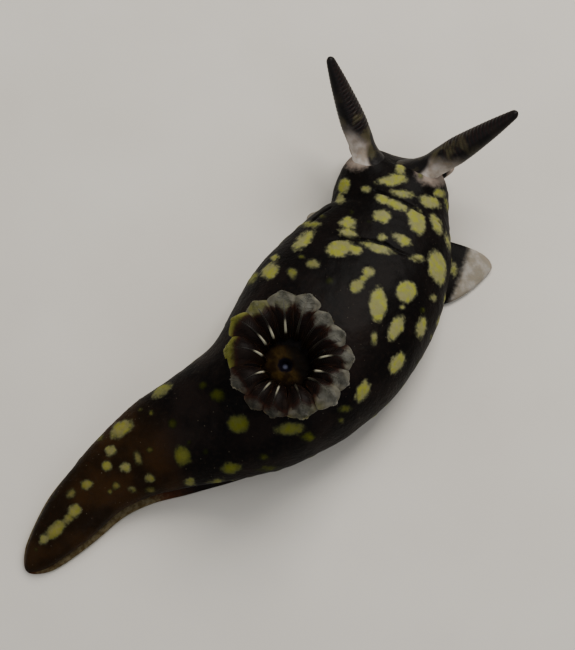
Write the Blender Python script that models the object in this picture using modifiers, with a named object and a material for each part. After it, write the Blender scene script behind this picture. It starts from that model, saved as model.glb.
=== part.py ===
"""A gymnodoris nudibranch at life size, about 22 mm long, crawling on a level floor.

The head looks towards -Y and the tail lies towards +Y, +Z is up and the animal's left is +X.
The body is one loft over a curved spine, parted across into named lengths. The feelers, the gill
and the corners of the foot are set on it, each trimmed by the body's own surface moved out by the
gap. Sizes are in millimetres, and MM turns them into metres.
"""

import math
import random

import bmesh
import bpy
from mathutils import Vector

MM = 0.001
NAME = "gymnodoris_nudibranch"

# What touching pieces keep between them, and the seed of the gill's small irregularities.
GAP = 0.25
SEED = 11

# The spine seen from above: where the front of the head is, and the way the spine points towards
# the head at stations along it, in degrees from +X.
SPINE_START = (1.74, -8.49)
HEADINGS = (
    (0.0, -63.0),
    (2.2, -63.5),
    (4.7, -73.5),
    (7.7, -82.5),
    (9.6, -91.0),
    (11.2, -105.0),
    (12.5, -116.0),
    (13.8, -119.5),
    (15.4, -114.0),
    (17.2, -102.0),
    (19.2, -89.0),
    (20.8, -88.5),
    (22.0, -95.0),
)
BODY_LENGTH = 22.0
SPINE_STEP = 0.05

# Stations along the spine, with the half width of the flanks, the height of the back, the half
# width of the foot and the height of the underside there.
GIRTH = (
    (0.0, 1.72, 2.22, 0.95, 0.60),
    (1.1, 2.00, 2.50, 1.08, 0.52),
    (1.9, 2.19, 2.72, 1.32, 0.34),
    (2.45, 2.36, 2.85, 1.65, 0.0),
    (3.85, 2.89, 3.12, 2.12, 0.0),
    (5.95, 3.34, 3.58, 2.70, 0.0),
    (8.0, 3.44, 3.95, 2.75, 0.0),
    (9.8, 3.16, 4.05, 2.50, 0.0),
    (11.2, 2.82, 3.90, 2.25, 0.0),
    (12.6, 2.46, 3.40, 2.05, 0.0),
    (13.8, 2.18, 2.90, 1.98, 0.0),
    (15.3, 1.84, 2.30, 1.85, 0.0),
    (16.8, 1.46, 1.80, 1.55, 0.0),
    (18.0, 1.22, 1.48, 1.34, 0.0),
    (19.5, 1.05, 1.20, 1.18, 0.0),
    (20.7, 0.78, 0.92, 0.90, 0.0),
    (21.6, 0.50, 0.62, 0.60, 0.0),
    (22.2, 0.30, 0.42, 0.40, 0.0),
)
HEAD_ROUND = 1.5
HEAD_LEVEL = 0.95
TAIL_ROUND = 0.8

# Section of the body. The foot's edge is given as shares of the foot's half width and of the
# edge's thickness, and over it run the groove, the flank and the back.
FOOT_EDGE = 0.36
FOOT_EDGE_SHARE = 0.30
FOOT_SECTION = ((0.0, 0.0), (0.5, 0.0), (0.93, 0.0), (1.0, 0.4), (0.96, 0.85))
GROOVE_LEVEL = 1.3
GROOVE_ANGLE = 40.0
FLANK_LEVEL = 0.42
BACK_FULLNESS = 0.88
FLANK_STEPS = 12
STATION_STEP = 0.36
CLOSEST_STATIONS = 0.04
ROUND_END_STEPS = 6

# The lengths that the body is parted into, each with the station where it ends.
LENGTHS = (
    ("head", 2.2),
    ("neck", 5.1),
    ("trunk_front", 7.9),
    ("trunk_gill", 12.8),
    ("trunk_rear", 14.9),
    ("tail_base", 17.3),
    ("tail_middle", 19.8),
    ("tail_tip", None),
)

# The mouth, low on the front of the head, between two short feelers.
MOUTH_STATION = 0.30
MOUTH_LEVEL = 0.90
LIP_HALF_WIDTH = 0.50
LIP_HALF_HEIGHT = 0.26
LIP_THICK = 0.15
LIP_PROUD = 1.3
LIP_STEPS = 24
LIP_SIDES = 8
SLIT_HALF_WIDTH = 0.36
SLIT_HALF_HEIGHT = 0.07
SLIT_TAPER = ((-0.60, 1.30), (0.0, 1.0), (0.45, 0.55))
SLIT_SIDES = 16
ORAL_LENGTH = 1.30
ORAL_RADIUS = 0.34
ORAL_TIP_RADIUS = 0.20
ORAL_STATION = 0.80
ORAL_SIDE = 0.85
ORAL_LEVEL = 1.00
ORAL_TURN = 52.0
ORAL_DIP = 8.0
ORAL_STEPS = 8
ORAL_SIDES = 12
ORAL_BLUNTNESS = 7

# The rhinophores: a stalk, then a long tapering club with lamellae that lean back.
RHINO_STATION = 0.98
RHINO_SIDE = {"left": 1.04, "right": 0.80}
RHINO_ROOT_LEVEL = 1.95
RHINO_LENGTH = {"left": 4.42, "right": 4.82}
RHINO_RISE = 38.0
RHINO_TURN = {"left": 40.4, "right": -60.0}
RHINO_BEND = 0.22
RHINO_RADII = ((0.0, 0.58), (0.12, 0.48), (0.24, 0.45), (0.40, 0.51), (0.72, 0.375), (1.0, 0.16))
RHINO_SIDES = 16
STALK_SHARES = (0.0, 0.08, 0.16, 0.24, 0.30)
CLUB_SHARES = (0.30, 0.95)
LAMELLAE = 11
LAMELLA_EDGE = 0.45
LAMELLA_DEPTH = 0.20
LAMELLA_LEAN = 0.55
CLUB_END = (0.985, 0.80, 0.22)

# The corners of the foot's front edge, which lie on the floor as rounded lobes: the station of
# their tips, and how far forward and back of it their roots run.
CORNER_STATION = 3.10
CORNER_FRONT = 0.50
CORNER_BACK = 1.90
CORNER_ROOT = 1.20
CORNER_REACH = {"left": 2.95, "right": 4.24}
CORNER_THICK = 0.50
CORNER_TIP_THICK = 0.30
CORNER_STEPS = 10

# Section of a corner of the foot: shares of its length along the body and of its thickness.
CORNER_SECTION = (
    (0.03, 0.0),
    (0.97, 0.0),
    (1.0, 0.35),
    (0.96, 0.85),
    (0.80, 1.0),
    (0.50, 1.0),
    (0.20, 1.0),
    (0.04, 0.85),
    (0.0, 0.35),
)

# The gill: plumes on a low collar round the anal papilla.
GILL_STATION = 10.42
GILL_SIDE = -0.26
COLLAR_RADIUS = 1.02
COLLAR_THICK = 0.27
COLLAR_TOP = 0.45
COLLAR_ROOT = 0.90
COLLAR_SHOULDER = ((1.0, 0.4), (0.6, 0.85), (0.0, 1.0), (-0.6, 0.85), (-1.0, 0.4))
COLLAR_STEPS = 30
PLUME_PATH = ((0.98, 0.10), (1.02, 0.95), (1.62, 1.42), (2.36, 0.92))
PLUME_HALF_WIDTHS = ((0.0, 0.17), (0.35, 0.32), (0.80, 0.60), (0.94, 0.44), (1.0, 0.20))
PLUME_THICK = 0.50
PLUME_TIP_THICK = 0.26
PLUME_LOBES = 4.5
PLUME_LOBE_DEPTH = 0.24
PLUME_TROUGH = 0.16
PLUME_STEPS = 18

# The plumes' bearings in degrees from +X, as their bright midribs show in the photograph, and how
# unlike the plumes are in their reach, their rise and their breadth.
PLUME_BEARINGS = (
    -167.0,
    -142.0,
    -117.0,
    -92.0,
    -68.0,
    -45.0,
    -18.0,
    4.0,
    33.0,
    74.0,
    98.0,
    115.0,
    145.0,
    175.0,
)
PLUME_BREADTH = (0.80, 1.25)
PLUME_REACH = (0.94, 1.04)
PLUME_RISE = (0.90, 1.06)

# Section of a plume: how far across and how far up its inner face, whose middle is a raised rib.
PLUME_SECTION = (
    (-1.0, 0.15),
    (-0.55, 0.35),
    (-0.20, 0.45),
    (0.0, 0.95),
    (0.20, 0.45),
    (0.55, 0.35),
    (1.0, 0.15),
    (0.55, -0.75),
    (0.0, -1.0),
    (-0.55, -0.75),
)

# The papilla's profile from the pit on its top, over its rim and down to its sunk root.
PAPILLA_PROFILE = (
    (0.0, 0.30),
    (0.12, 0.34),
    (0.22, 0.50),
    (0.34, 0.47),
    (0.43, 0.12),
    (0.47, -0.45),
    (0.0, -0.45),
)
PAPILLA_STEPS = 20

# Colour, roughness of each finish.
BLACK_SKIN = ((0.012, 0.009, 0.007, 1.0), 0.45)
BROWN_SKIN = ((0.021, 0.013, 0.006, 1.0), 0.45)
GREY_PLUME = ((0.11, 0.10, 0.07, 1.0), 0.40)
SMALLEST_MERGE = 0.00001
SHARP_EDGE = 50.0


def value_through(knots, at):
    """The smooth curve through knots, which are (place, value) pairs, at one place."""
    places = [k[0] for k in knots]
    values = [k[1] for k in knots]
    last = len(knots) - 1
    i = max(0, min(last - 1, sum(p <= at for p in places) - 1))

    def slope(j):
        lo = max(0, j - 1)
        hi = min(last, j + 1)
        return (values[hi] - values[lo]) / (places[hi] - places[lo])

    span = places[i + 1] - places[i]
    t = (at - places[i]) / span
    return (
        (2 * t**3 - 3 * t**2 + 1) * values[i]
        + (t**3 - 2 * t**2 + t) * span * slope(i)
        + (3 * t**2 - 2 * t**3) * values[i + 1]
        + (t**3 - t**2) * span * slope(i + 1)
    )


def walked_spine():
    """The spine as close points from the head to the tail, with the way to the head at each."""
    point = Vector((*SPINE_START, 0.0))
    walk = []
    for i in range(round(BODY_LENGTH / SPINE_STEP) + 1):
        turn = math.radians(value_through(HEADINGS, i * SPINE_STEP))
        ahead = Vector((math.cos(turn), math.sin(turn), 0.0))
        walk.append((point.copy(), ahead))
        point -= ahead * SPINE_STEP
    return walk


SPINE = walked_spine()


def spine_point(station):
    """The point of the spine at a station, and the way to the head there."""
    place = min(max(station / SPINE_STEP, 0.0), len(SPINE) - 1.001)
    i = int(place)
    near, far = SPINE[i], SPINE[i + 1]
    return near[0].lerp(far[0], place - i), near[1].lerp(far[1], place - i).normalized()


def body_frame(station):
    """The point on the floor under a station, the way to the head and the way to the left."""
    point, ahead = spine_point(station)
    return point, ahead, Vector((-ahead.y, ahead.x, 0.0))


def on_body(station, side, level):
    """A point given by its station, its distance to the animal's left and its height."""
    point, _, left = body_frame(station)
    return point + left * side + Vector((0.0, 0.0, level))


def girth(station):
    """Half width, height, half width of the foot and height of the underside at a station."""
    return [value_through([(row[0], row[k]) for row in GIRTH], station) for k in range(1, 5)]


def half_section(station, grow):
    """Points (side, up) from the middle of the underside round the left flank to the back."""
    width, height, foot, lift = girth(station)
    lift = max(0.0, lift)
    edge = min(FOOT_EDGE, FOOT_EDGE_SHARE * (height - lift))
    waist = lift + GROOVE_LEVEL * edge
    widest = lift + FLANK_LEVEL * (height - lift)
    width += grow
    height += grow
    points = []
    for side, level in FOOT_SECTION:
        points.append((side * (foot + grow), lift + level * edge + grow * (2.0 * level - 1.0)))
    for i in range(FLANK_STEPS + 1):
        angle = math.radians(-GROOVE_ANGLE + (90.0 + GROOVE_ANGLE) * i / FLANK_STEPS)
        if angle < 0:
            drop = math.sin(angle) / math.sin(math.radians(GROOVE_ANGLE))
            points.append((width * math.cos(angle), widest + (widest - waist) * drop))
        else:
            side = width * max(0.0, math.cos(angle)) ** BACK_FULLNESS
            points.append((side, widest + (height - widest) * math.sin(angle) ** BACK_FULLNESS))
    points[-1] = (0.0, height)
    return points


def rounding(station, grow):
    """How far the section is drawn in at the ends of the body, and the level it is drawn to."""
    if station < HEAD_ROUND:
        share = max(0.0, station + grow) / (HEAD_ROUND + grow)
        return math.sqrt(max(0.0, 1.0 - (1.0 - share) ** 2)), HEAD_LEVEL
    if station > BODY_LENGTH - TAIL_ROUND:
        share = max(0.0, BODY_LENGTH - station + grow) / (TAIL_ROUND + grow)
        return math.sqrt(max(0.0, 1.0 - (1.0 - share) ** 2)), 0.0
    return 1.0, 0.0


def ring(station, grow):
    """The closed ring of points of the body's surface at a station."""
    half = half_section(station, grow)
    shrink, level = rounding(station, grow)
    loop = half + [(-side, up) for side, up in reversed(half[1:-1])]
    return [on_body(station, side * shrink, level + (up - level) * shrink) for side, up in loop]


def loft_mesh(name, rings):
    """A closed mesh through rings of equal count; a ring of one point is a pole."""
    bm = bmesh.new()
    rows = [[bm.verts.new(p * MM) for p in row] for row in rings]
    for before, after in zip(rows, rows[1:]):
        count = max(len(before), len(after))
        for i in range(count):
            j = (i + 1) % count
            corners = [before[i % len(before)], before[j % len(before)]]
            corners += [after[j % len(after)], after[i % len(after)]]
            bm.faces.new(list(dict.fromkeys(corners)))
    for row in (rows[0], rows[-1]):
        if len(row) > 1:
            middle = bm.verts.new(sum((v.co for v in row), Vector()) / len(row))
            for i in range(len(row)):
                bm.faces.new((row[i], row[(i + 1) % len(row)], middle))
    bmesh.ops.recalc_face_normals(bm, faces=bm.faces)
    mesh = bpy.data.meshes.new(name)
    bm.to_mesh(mesh)
    bm.free()
    return mesh


def body_stations(start, end):
    """Stations from start to end, set closer together where the ends of the body round off."""
    count = round(BODY_LENGTH / STATION_STEP)
    stations = [BODY_LENGTH * i / count for i in range(count + 1)]
    for i in range(1, ROUND_END_STEPS + 1):
        turn = math.radians(90.0 * i / ROUND_END_STEPS)
        stations.append(HEAD_ROUND * (1.0 - math.cos(turn)))
        stations.append(BODY_LENGTH - TAIL_ROUND * (1.0 - math.cos(turn)))
    spaced = [start]
    for station in sorted(stations):
        if spaced[-1] + CLOSEST_STATIONS < station < end - CLOSEST_STATIONS:
            spaced.append(station)
    return spaced + [end]


def body_length(name, start, end, grow=0.0):
    """One length of the body, or of that body moved out by grow, as a closed mesh.

    It closes to a point at the front of the head and at the tip of the tail.
    """
    rings = []
    for station in body_stations(start, end):
        points = ring(station, grow)
        centre = sum(points, Vector()) / len(points)
        at_point = (points[0] - centre).length < 0.01
        rings.append([centre] if at_point else points)
    return loft_mesh(name, rings)


def tube_rings(path, radii, leans, sides, front):
    """Rings along a path, each turned to it; a lean slides a ring's front side along the path."""
    rings = []
    for i, centre in enumerate(path):
        along = (path[min(i + 1, len(path) - 1)] - path[max(i - 1, 0)]).normalized()
        across = along.cross(front).normalized()
        forward = across.cross(along)
        row = []
        for k in range(sides):
            turn = 2 * math.pi * k / sides
            outward = across * math.cos(turn) + forward * math.sin(turn)
            slide = along * (leans[i] * math.sin(turn))
            row.append(centre + (outward + slide) * radii[i])
        rings.append(row)
    return rings


def material(name, finish):
    """A plain Principled material."""
    colour, roughness = finish
    made = bpy.data.materials.new(name)
    made.use_nodes = True
    shader = made.node_tree.nodes["Principled BSDF"]
    shader.inputs["Base Color"].default_value = colour
    shader.inputs["Roughness"].default_value = roughness
    return made


def add_object(name, mesh, collection, finish=None):
    """A smooth object for a mesh, in a collection, with a material of its own."""
    mesh.shade_smooth()
    mesh.set_sharp_from_angle(angle=math.radians(SHARP_EDGE))
    made = bpy.data.objects.new(name, mesh)
    collection.objects.link(made)
    if finish:
        mesh.materials.append(material(name + "_finish", finish))
    return made


def hidden_tool(name, mesh, collection):
    """An object that only cuts or joins."""
    made = add_object(name, mesh, collection)
    made.hide_render = True
    made.display_type = "WIRE"
    return made


def add_boolean(target, operation, tool=None, tools=None, solver="EXACT"):
    """A Boolean modifier with one object or with a collection."""
    cut = target.modifiers.new(operation.lower(), "BOOLEAN")
    cut.operation = operation
    cut.solver = solver
    if tools:
        cut.operand_type = "COLLECTION"
        cut.collection = tools
    else:
        cut.object = tool
    return cut


def apply_modifiers(target):
    """Turns what the modifiers make into the object's own mesh."""
    shown = target.evaluated_get(bpy.context.evaluated_depsgraph_get())
    mesh = bpy.data.meshes.new_from_object(shown)
    target.modifiers.clear()
    target.data = mesh


def keep_largest(target):
    """Keeps only the largest closed surface of an object's mesh."""
    bm = bmesh.new()
    bm.from_mesh(target.data)
    left = set(bm.verts)
    groups = []
    while left:
        group = {left.pop()}
        edge = list(group)
        while edge:
            near = {e.other_vert(v) for v in edge for e in v.link_edges} - group
            group |= near
            edge = list(near)
        left -= group
        groups.append(group)
    groups.sort(key=len)
    for group in groups[:-1]:
        bmesh.ops.delete(bm, geom=list(group), context="VERTS")
    bm.to_mesh(target.data)
    bm.free()


def make_body(collection):
    """The lengths of the body, parted by the gap."""
    made = {}
    start = 0.0
    for name, end in LENGTHS:
        last = end is None
        stop = BODY_LENGTH if last else end - GAP / 2
        finish = BROWN_SKIN if name.startswith("tail") else BLACK_SKIN
        made[name] = add_object(name, body_length(name, start, stop), collection, finish)
        start = stop + GAP
    return made


def lip_rings():
    """A flattened ring of flesh round the mouth, as sections round its own loop."""
    point, ahead, left = body_frame(MOUTH_STATION)
    centre = point + Vector((0.0, 0.0, MOUTH_LEVEL))
    rings = []
    for i in range(LIP_STEPS):
        turn = 2 * math.pi * i / LIP_STEPS
        out = left * (LIP_HALF_WIDTH * math.cos(turn))
        out += Vector((0.0, 0.0, LIP_HALF_HEIGHT * math.sin(turn)))
        away = out.normalized()
        row = []
        for k in range(LIP_SIDES):
            round_lip = 2 * math.pi * k / LIP_SIDES
            swell = away * math.cos(round_lip) + ahead * (LIP_PROUD * math.sin(round_lip))
            row.append(centre + out + swell * LIP_THICK)
        rings.append(row)
    return rings


def ring_mesh(name, rings):
    """A closed mesh through rings that run round and meet, such as a lip or a collar."""
    bm = bmesh.new()
    rows = [[bm.verts.new(p * MM) for p in row] for row in rings]
    for before, after in zip(rows, rows[1:] + rows[:1]):
        for i in range(len(before)):
            j = (i + 1) % len(before)
            bm.faces.new((before[i], before[j], after[j], after[i]))
    bmesh.ops.recalc_face_normals(bm, faces=bm.faces)
    mesh = bpy.data.meshes.new(name)
    bm.to_mesh(mesh)
    bm.free()
    return mesh


def slit_mesh(name):
    """The opening between the lips, a flat lens that runs back into the head."""
    point, ahead, left = body_frame(MOUTH_STATION)
    centre = point + Vector((0.0, 0.0, MOUTH_LEVEL))
    rings = []
    for depth, size in SLIT_TAPER:
        row = []
        for k in range(SLIT_SIDES):
            turn = 2 * math.pi * k / SLIT_SIDES
            across = left * (SLIT_HALF_WIDTH * math.cos(turn))
            up = Vector((0.0, 0.0, SLIT_HALF_HEIGHT * math.sin(turn)))
            row.append(centre - ahead * depth + (across + up) * size)
        rings.append(row)
    return loft_mesh(name, rings)


def open_mouth(head, tools):
    """Joins the lips to the head and opens the line of the mouth between them."""
    lips = hidden_tool("lips", ring_mesh("lips", lip_rings()), tools)
    slit = hidden_tool("mouth_slit", slit_mesh("mouth_slit"), tools)
    add_boolean(head, "UNION", tool=lips)
    add_boolean(head, "DIFFERENCE", tool=slit)
    apply_modifiers(head)
    keep_largest(head)


def side_sign(side):
    """The animal's left is positive."""
    return 1.0 if side == "left" else -1.0


def turned(ahead, degrees, rise):
    """The way to the head, turned to the left by degrees and raised by rise."""
    turn = math.radians(degrees)
    level = Vector(
        (
            ahead.x * math.cos(turn) - ahead.y * math.sin(turn),
            ahead.x * math.sin(turn) + ahead.y * math.cos(turn),
            0.0,
        )
    )
    lift = math.radians(rise)
    return level * math.cos(lift) + Vector((0.0, 0.0, math.sin(lift)))


def make_rhinophore(side, collection, trim):
    """One rhinophore: its stalk and its club, whose radius steps in and out at each lamella."""
    _, ahead, _ = body_frame(RHINO_STATION)
    root = on_body(RHINO_STATION, RHINO_SIDE[side] * side_sign(side), RHINO_ROOT_LEVEL)
    way = turned(ahead, RHINO_TURN[side], RHINO_RISE)
    up = way.cross(Vector((0.0, 0.0, 1.0))).normalized().cross(way)
    length = RHINO_LENGTH[side]
    shares = list(STALK_SHARES)
    depths = [1.0] * len(shares)
    leans = [LAMELLA_LEAN * (share / STALK_SHARES[-1]) ** 2 for share in shares]
    club_start, club_end = CLUB_SHARES
    pitch = (club_end - club_start) / LAMELLAE
    for i in range(LAMELLAE):
        foot = club_start + pitch * i
        shares += [foot + LAMELLA_EDGE * pitch, foot + pitch]
        depths += [1.0, 1.0 - LAMELLA_DEPTH]
        leans += [LAMELLA_LEAN, LAMELLA_LEAN]
    share, depth, lean = CLUB_END
    shares.append(share)
    depths.append(depth)
    leans.append(lean)
    path = []
    radii = []
    for share, depth in zip(shares, depths):
        path.append(root + way * (length * share) + up * (RHINO_BEND * share * share))
        radii.append(value_through(RHINO_RADII, share) * depth)
    rings = tube_rings(path, radii, leans, RHINO_SIDES, up)
    rings.append([root + way * length + up * RHINO_BEND])
    name = "rhinophore_" + side
    made = add_object(name, loft_mesh(name, rings), collection, BLACK_SKIN)
    add_boolean(made, "DIFFERENCE", tool=trim)
    return made


def make_oral_tentacle(side, collection, trim):
    """One short blunt feeler beside the mouth."""
    _, ahead, _ = body_frame(ORAL_STATION)
    sign = side_sign(side)
    root = on_body(ORAL_STATION, ORAL_SIDE * sign, ORAL_LEVEL)
    way = turned(ahead, ORAL_TURN * sign, -ORAL_DIP)
    path = []
    radii = []
    for i in range(ORAL_STEPS):
        share = math.sin(0.5 * math.pi * i / ORAL_STEPS)
        taper = ORAL_RADIUS + (ORAL_TIP_RADIUS - ORAL_RADIUS) * share
        path.append(root + way * (ORAL_LENGTH * share))
        radii.append(taper * math.sqrt(1.0 - share**ORAL_BLUNTNESS))
    rings = tube_rings(path, radii, [0.0] * len(path), ORAL_SIDES, Vector((0.0, 0.0, 1.0)))
    rings.append([root + way * ORAL_LENGTH])
    name = "oral_tentacle_" + side
    made = add_object(name, loft_mesh(name, rings), collection, BLACK_SKIN)
    add_boolean(made, "DIFFERENCE", tool=trim)
    return made


def make_foot_corner(side, collection, trim):
    """One corner of the foot's front edge, a flap from under the flank out to its rounded end."""
    sign = side_sign(side)
    reach = CORNER_REACH[side]
    rings = []
    for i in range(CORNER_STEPS + 1):
        share = math.sin(0.5 * math.pi * i / CORNER_STEPS)
        out = sign * (CORNER_ROOT + (reach - CORNER_ROOT) * share)
        front = CORNER_STATION - CORNER_FRONT * math.sqrt(max(0.0, 1.0 - share**6))
        thick = CORNER_THICK + (CORNER_TIP_THICK - CORNER_THICK) * share
        if i == CORNER_STEPS:
            rings.append([on_body(CORNER_STATION, out, 0.5 * thick)])
            continue
        length = CORNER_STATION + CORNER_BACK * (1.0 - share**3) - front
        row = []
        for along, up in CORNER_SECTION:
            row.append(on_body(front + length * along, out, thick * up))
        rings.append(row)
    name = "foot_corner_" + side
    made = add_object(name, loft_mesh(name, rings), collection, BROWN_SKIN)
    add_boolean(made, "DIFFERENCE", tool=trim)
    return made


def gill_centre():
    """The middle of the gill on the body's back."""
    return on_body(GILL_STATION, GILL_SIDE, girth(GILL_STATION)[1])


def cubic(points, t):
    """The point at t of the cubic Bezier through its first and last of four control points."""
    shares = ((1.0 - t) ** 3, 3 * t * (1.0 - t) ** 2, 3 * t * t * (1.0 - t), t**3)
    return [sum(share * p[k] for share, p in zip(shares, points)) for k in range(2)]


def cubic_way(points, t):
    """The way that the same curve runs at t."""
    shares = ((1.0 - t) ** 2, 2 * t * (1.0 - t), t * t)
    steps = [[b[k] - a[k] for k in range(2)] for a, b in zip(points, points[1:])]
    return [sum(share * p[k] for share, p in zip(shares, steps)) for k in range(2)]


def plume_width(share):
    """Half width of a plume, with its lobed edge."""
    lobes = 1.0 - PLUME_LOBE_DEPTH * (0.5 - 0.5 * math.cos(2 * math.pi * PLUME_LOBES * share))
    return value_through(PLUME_HALF_WIDTHS, share) * lobes


def plume_mesh(name, bearing, breadth, reach, rise):
    """One gill plume: a leaf that rises from the collar and curls out, hollowed along its face."""
    out = Vector((math.cos(bearing), math.sin(bearing), 0.0))
    up = Vector((0.0, 0.0, 1.0))
    side = up.cross(out)
    centre = gill_centre()
    rings = []
    for i in range(PLUME_STEPS + 1):
        t = i / PLUME_STEPS
        radius, level = cubic(PLUME_PATH, t)
        away, climb = cubic_way(PLUME_PATH, t)
        face = side.cross((out * away + up * climb).normalized())
        middle = centre + out * (radius * reach) + up * (level * rise)
        width = plume_width(t) * breadth
        thick = 0.5 * (PLUME_THICK + (PLUME_TIP_THICK - PLUME_THICK) * t)
        row = []
        for across, level in PLUME_SECTION:
            trough = PLUME_TROUGH * across * across
            row.append(middle + side * (width * across) + face * (thick * level + trough))
        rings.append(row)
    return loft_mesh(name, rings)


def plume_breadth(i):
    """How broad a plume is beside the others, from the room that its two neighbours leave it."""
    count = len(PLUME_BEARINGS)
    room = (PLUME_BEARINGS[(i + 1) % count] - PLUME_BEARINGS[i - 1]) % 360.0
    low, high = PLUME_BREADTH
    return min(max(room * count / 720.0, low), high)


def collar_mesh(name):
    """The ring of flesh that the plumes grow from, with its root sunk in the back."""
    centre = gill_centre()
    section = [(-COLLAR_THICK, -COLLAR_ROOT), (COLLAR_THICK, -COLLAR_ROOT)]
    for side, up in COLLAR_SHOULDER:
        section.append((side * COLLAR_THICK, up * COLLAR_TOP))
    rings = []
    for i in range(COLLAR_STEPS):
        turn = 2 * math.pi * i / COLLAR_STEPS
        out = Vector((math.cos(turn), math.sin(turn), 0.0))
        row = []
        for side, up in section:
            row.append(centre + out * (COLLAR_RADIUS + side) + Vector((0.0, 0.0, up)))
        rings.append(row)
    return ring_mesh(name, rings)


def make_gill_crown(collection, trim):
    """The collar with its plumes, joined by one Boolean and trimmed by the back.

    The exact solver leaves open edges where so many thin roots cross, so both use the other one.
    """
    draw = random.Random(SEED)
    crown = add_object("gill_crown", collar_mesh("gill_crown"), collection, GREY_PLUME)
    plumes = bpy.data.collections.new("gill_plumes")
    bpy.context.scene.collection.children.link(plumes)
    for i, bearing in enumerate(PLUME_BEARINGS):
        breadth = plume_breadth(i)
        reach = draw.uniform(*PLUME_REACH)
        rise = draw.uniform(*PLUME_RISE)
        name = f"plume_{i}"
        mesh = plume_mesh(name, math.radians(bearing), breadth, reach, rise)
        hidden_tool(name, mesh, plumes)
    add_boolean(crown, "UNION", tools=plumes, solver="MANIFOLD")
    add_boolean(crown, "DIFFERENCE", tool=trim, solver="MANIFOLD")
    apply_modifiers(crown)
    keep_largest(crown)
    for tool in list(plumes.objects):
        bpy.data.objects.remove(tool)
    bpy.data.collections.remove(plumes)
    return crown


def make_anal_papilla(collection, trim):
    """The low cone in the middle of the gill, turned from its profile, with a dimple on top."""
    bm = bmesh.new()
    points = [bm.verts.new(Vector((radius, 0.0, level)) * MM) for radius, level in PAPILLA_PROFILE]
    for before, after in zip(points, points[1:]):
        bm.edges.new((before, after))
    mesh = bpy.data.meshes.new("anal_papilla")
    bm.to_mesh(mesh)
    bm.free()
    made = add_object("anal_papilla", mesh, collection, BROWN_SKIN)
    made.location = gill_centre() * MM
    turn = made.modifiers.new("turn", "SCREW")
    turn.steps = PAPILLA_STEPS
    turn.render_steps = PAPILLA_STEPS
    turn.use_merge_vertices = True
    turn.merge_threshold = SMALLEST_MERGE
    add_boolean(made, "DIFFERENCE", tool=trim)
    return made


def middle_of_box(parts):
    """The point of the floor under the middle of the box round all the parts."""
    bpy.context.view_layer.update()
    graph = bpy.context.evaluated_depsgraph_get()
    corners = []
    for part in parts:
        shown = part.evaluated_get(graph)
        corners += [shown.matrix_world @ v.co for v in shown.data.vertices]
    middle = Vector()
    for k in range(2):
        places = [corner[k] for corner in corners]
        middle[k] = (min(places) + max(places)) / 2
    return middle


def main():
    for old in list(bpy.data.objects):
        bpy.data.objects.remove(old)
    parts = bpy.data.collections.new(NAME)
    tools = bpy.data.collections.new("cutters")
    bpy.context.scene.collection.children.link(parts)
    bpy.context.scene.collection.children.link(tools)
    clearance = body_length("body_clearance", 0.0, BODY_LENGTH, GAP)
    trim = hidden_tool("body_clearance", clearance, tools)
    body = make_body(parts)
    open_mouth(body["head"], tools)
    for side in ("left", "right"):
        make_rhinophore(side, parts, trim)
        make_oral_tentacle(side, parts, trim)
        make_foot_corner(side, parts, trim)
    make_gill_crown(parts, trim)
    make_anal_papilla(parts, trim)
    middle = middle_of_box(parts.objects)
    for made in list(parts.objects) + list(tools.objects):
        made.location -= middle


main()
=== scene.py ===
"""The looks of a gymnodoris nudibranch, a black sea slug with yellow-green spots, about 22 mm long.

One skin covers the head, the body, the foot and the short feelers by the mouth. The rhinophores,
the gill and the anal papilla are pieces of their own. Lengths are in millimetres until a mesh is
made, and places are in the frame's own axes. The head looks towards -Y and left is +X.
"""

import math
import random

import bmesh
import bpy
import numpy as np
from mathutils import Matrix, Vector, noise


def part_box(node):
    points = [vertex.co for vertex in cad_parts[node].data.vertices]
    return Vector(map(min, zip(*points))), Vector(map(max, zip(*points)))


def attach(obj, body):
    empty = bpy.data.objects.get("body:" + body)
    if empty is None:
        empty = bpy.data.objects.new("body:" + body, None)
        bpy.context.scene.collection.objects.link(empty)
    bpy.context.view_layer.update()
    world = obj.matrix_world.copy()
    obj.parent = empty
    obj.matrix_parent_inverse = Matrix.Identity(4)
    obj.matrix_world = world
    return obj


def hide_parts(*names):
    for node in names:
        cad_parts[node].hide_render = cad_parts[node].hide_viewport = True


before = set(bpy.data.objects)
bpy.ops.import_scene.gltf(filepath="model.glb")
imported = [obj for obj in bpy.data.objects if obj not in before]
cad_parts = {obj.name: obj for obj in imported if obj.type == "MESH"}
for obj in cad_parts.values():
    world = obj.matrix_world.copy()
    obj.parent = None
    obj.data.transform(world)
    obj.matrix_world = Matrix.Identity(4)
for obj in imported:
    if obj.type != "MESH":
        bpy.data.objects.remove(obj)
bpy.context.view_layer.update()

MM = 0.001
SEED = 11
NO_LENGTH = 1e-9

# The frame's axes, a way close to up that no skin faces squarely, and the sign of a distance to
# the animal's left and right.
ALONG_X = np.array((1.0, 0.0, 0.0))
ALONG_Y = np.array((0.0, 1.0, 0.0))
UP = np.array((0.0, 0.0, 1.0))
NEARLY_UP = UP + 0.01
SIDES = {"left": 1.0, "right": -1.0}

# The photograph's frame in pixels, and the camera: its bearing and height in degrees, its
# distance in millimetres, and the scale that it gives there.
PHOTO_WIDTH = 575
PHOTO_HEIGHT = 650
CAMERA_AZIMUTH = 220.55
CAMERA_ELEVATION = 69.0
CAMERA_DISTANCE = 115.0
CAMERA_AIM = (0.844, -0.844, 0.0)
PIXELS_PER_MM = 27.0
SENSOR_HEIGHT = 24.0

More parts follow.
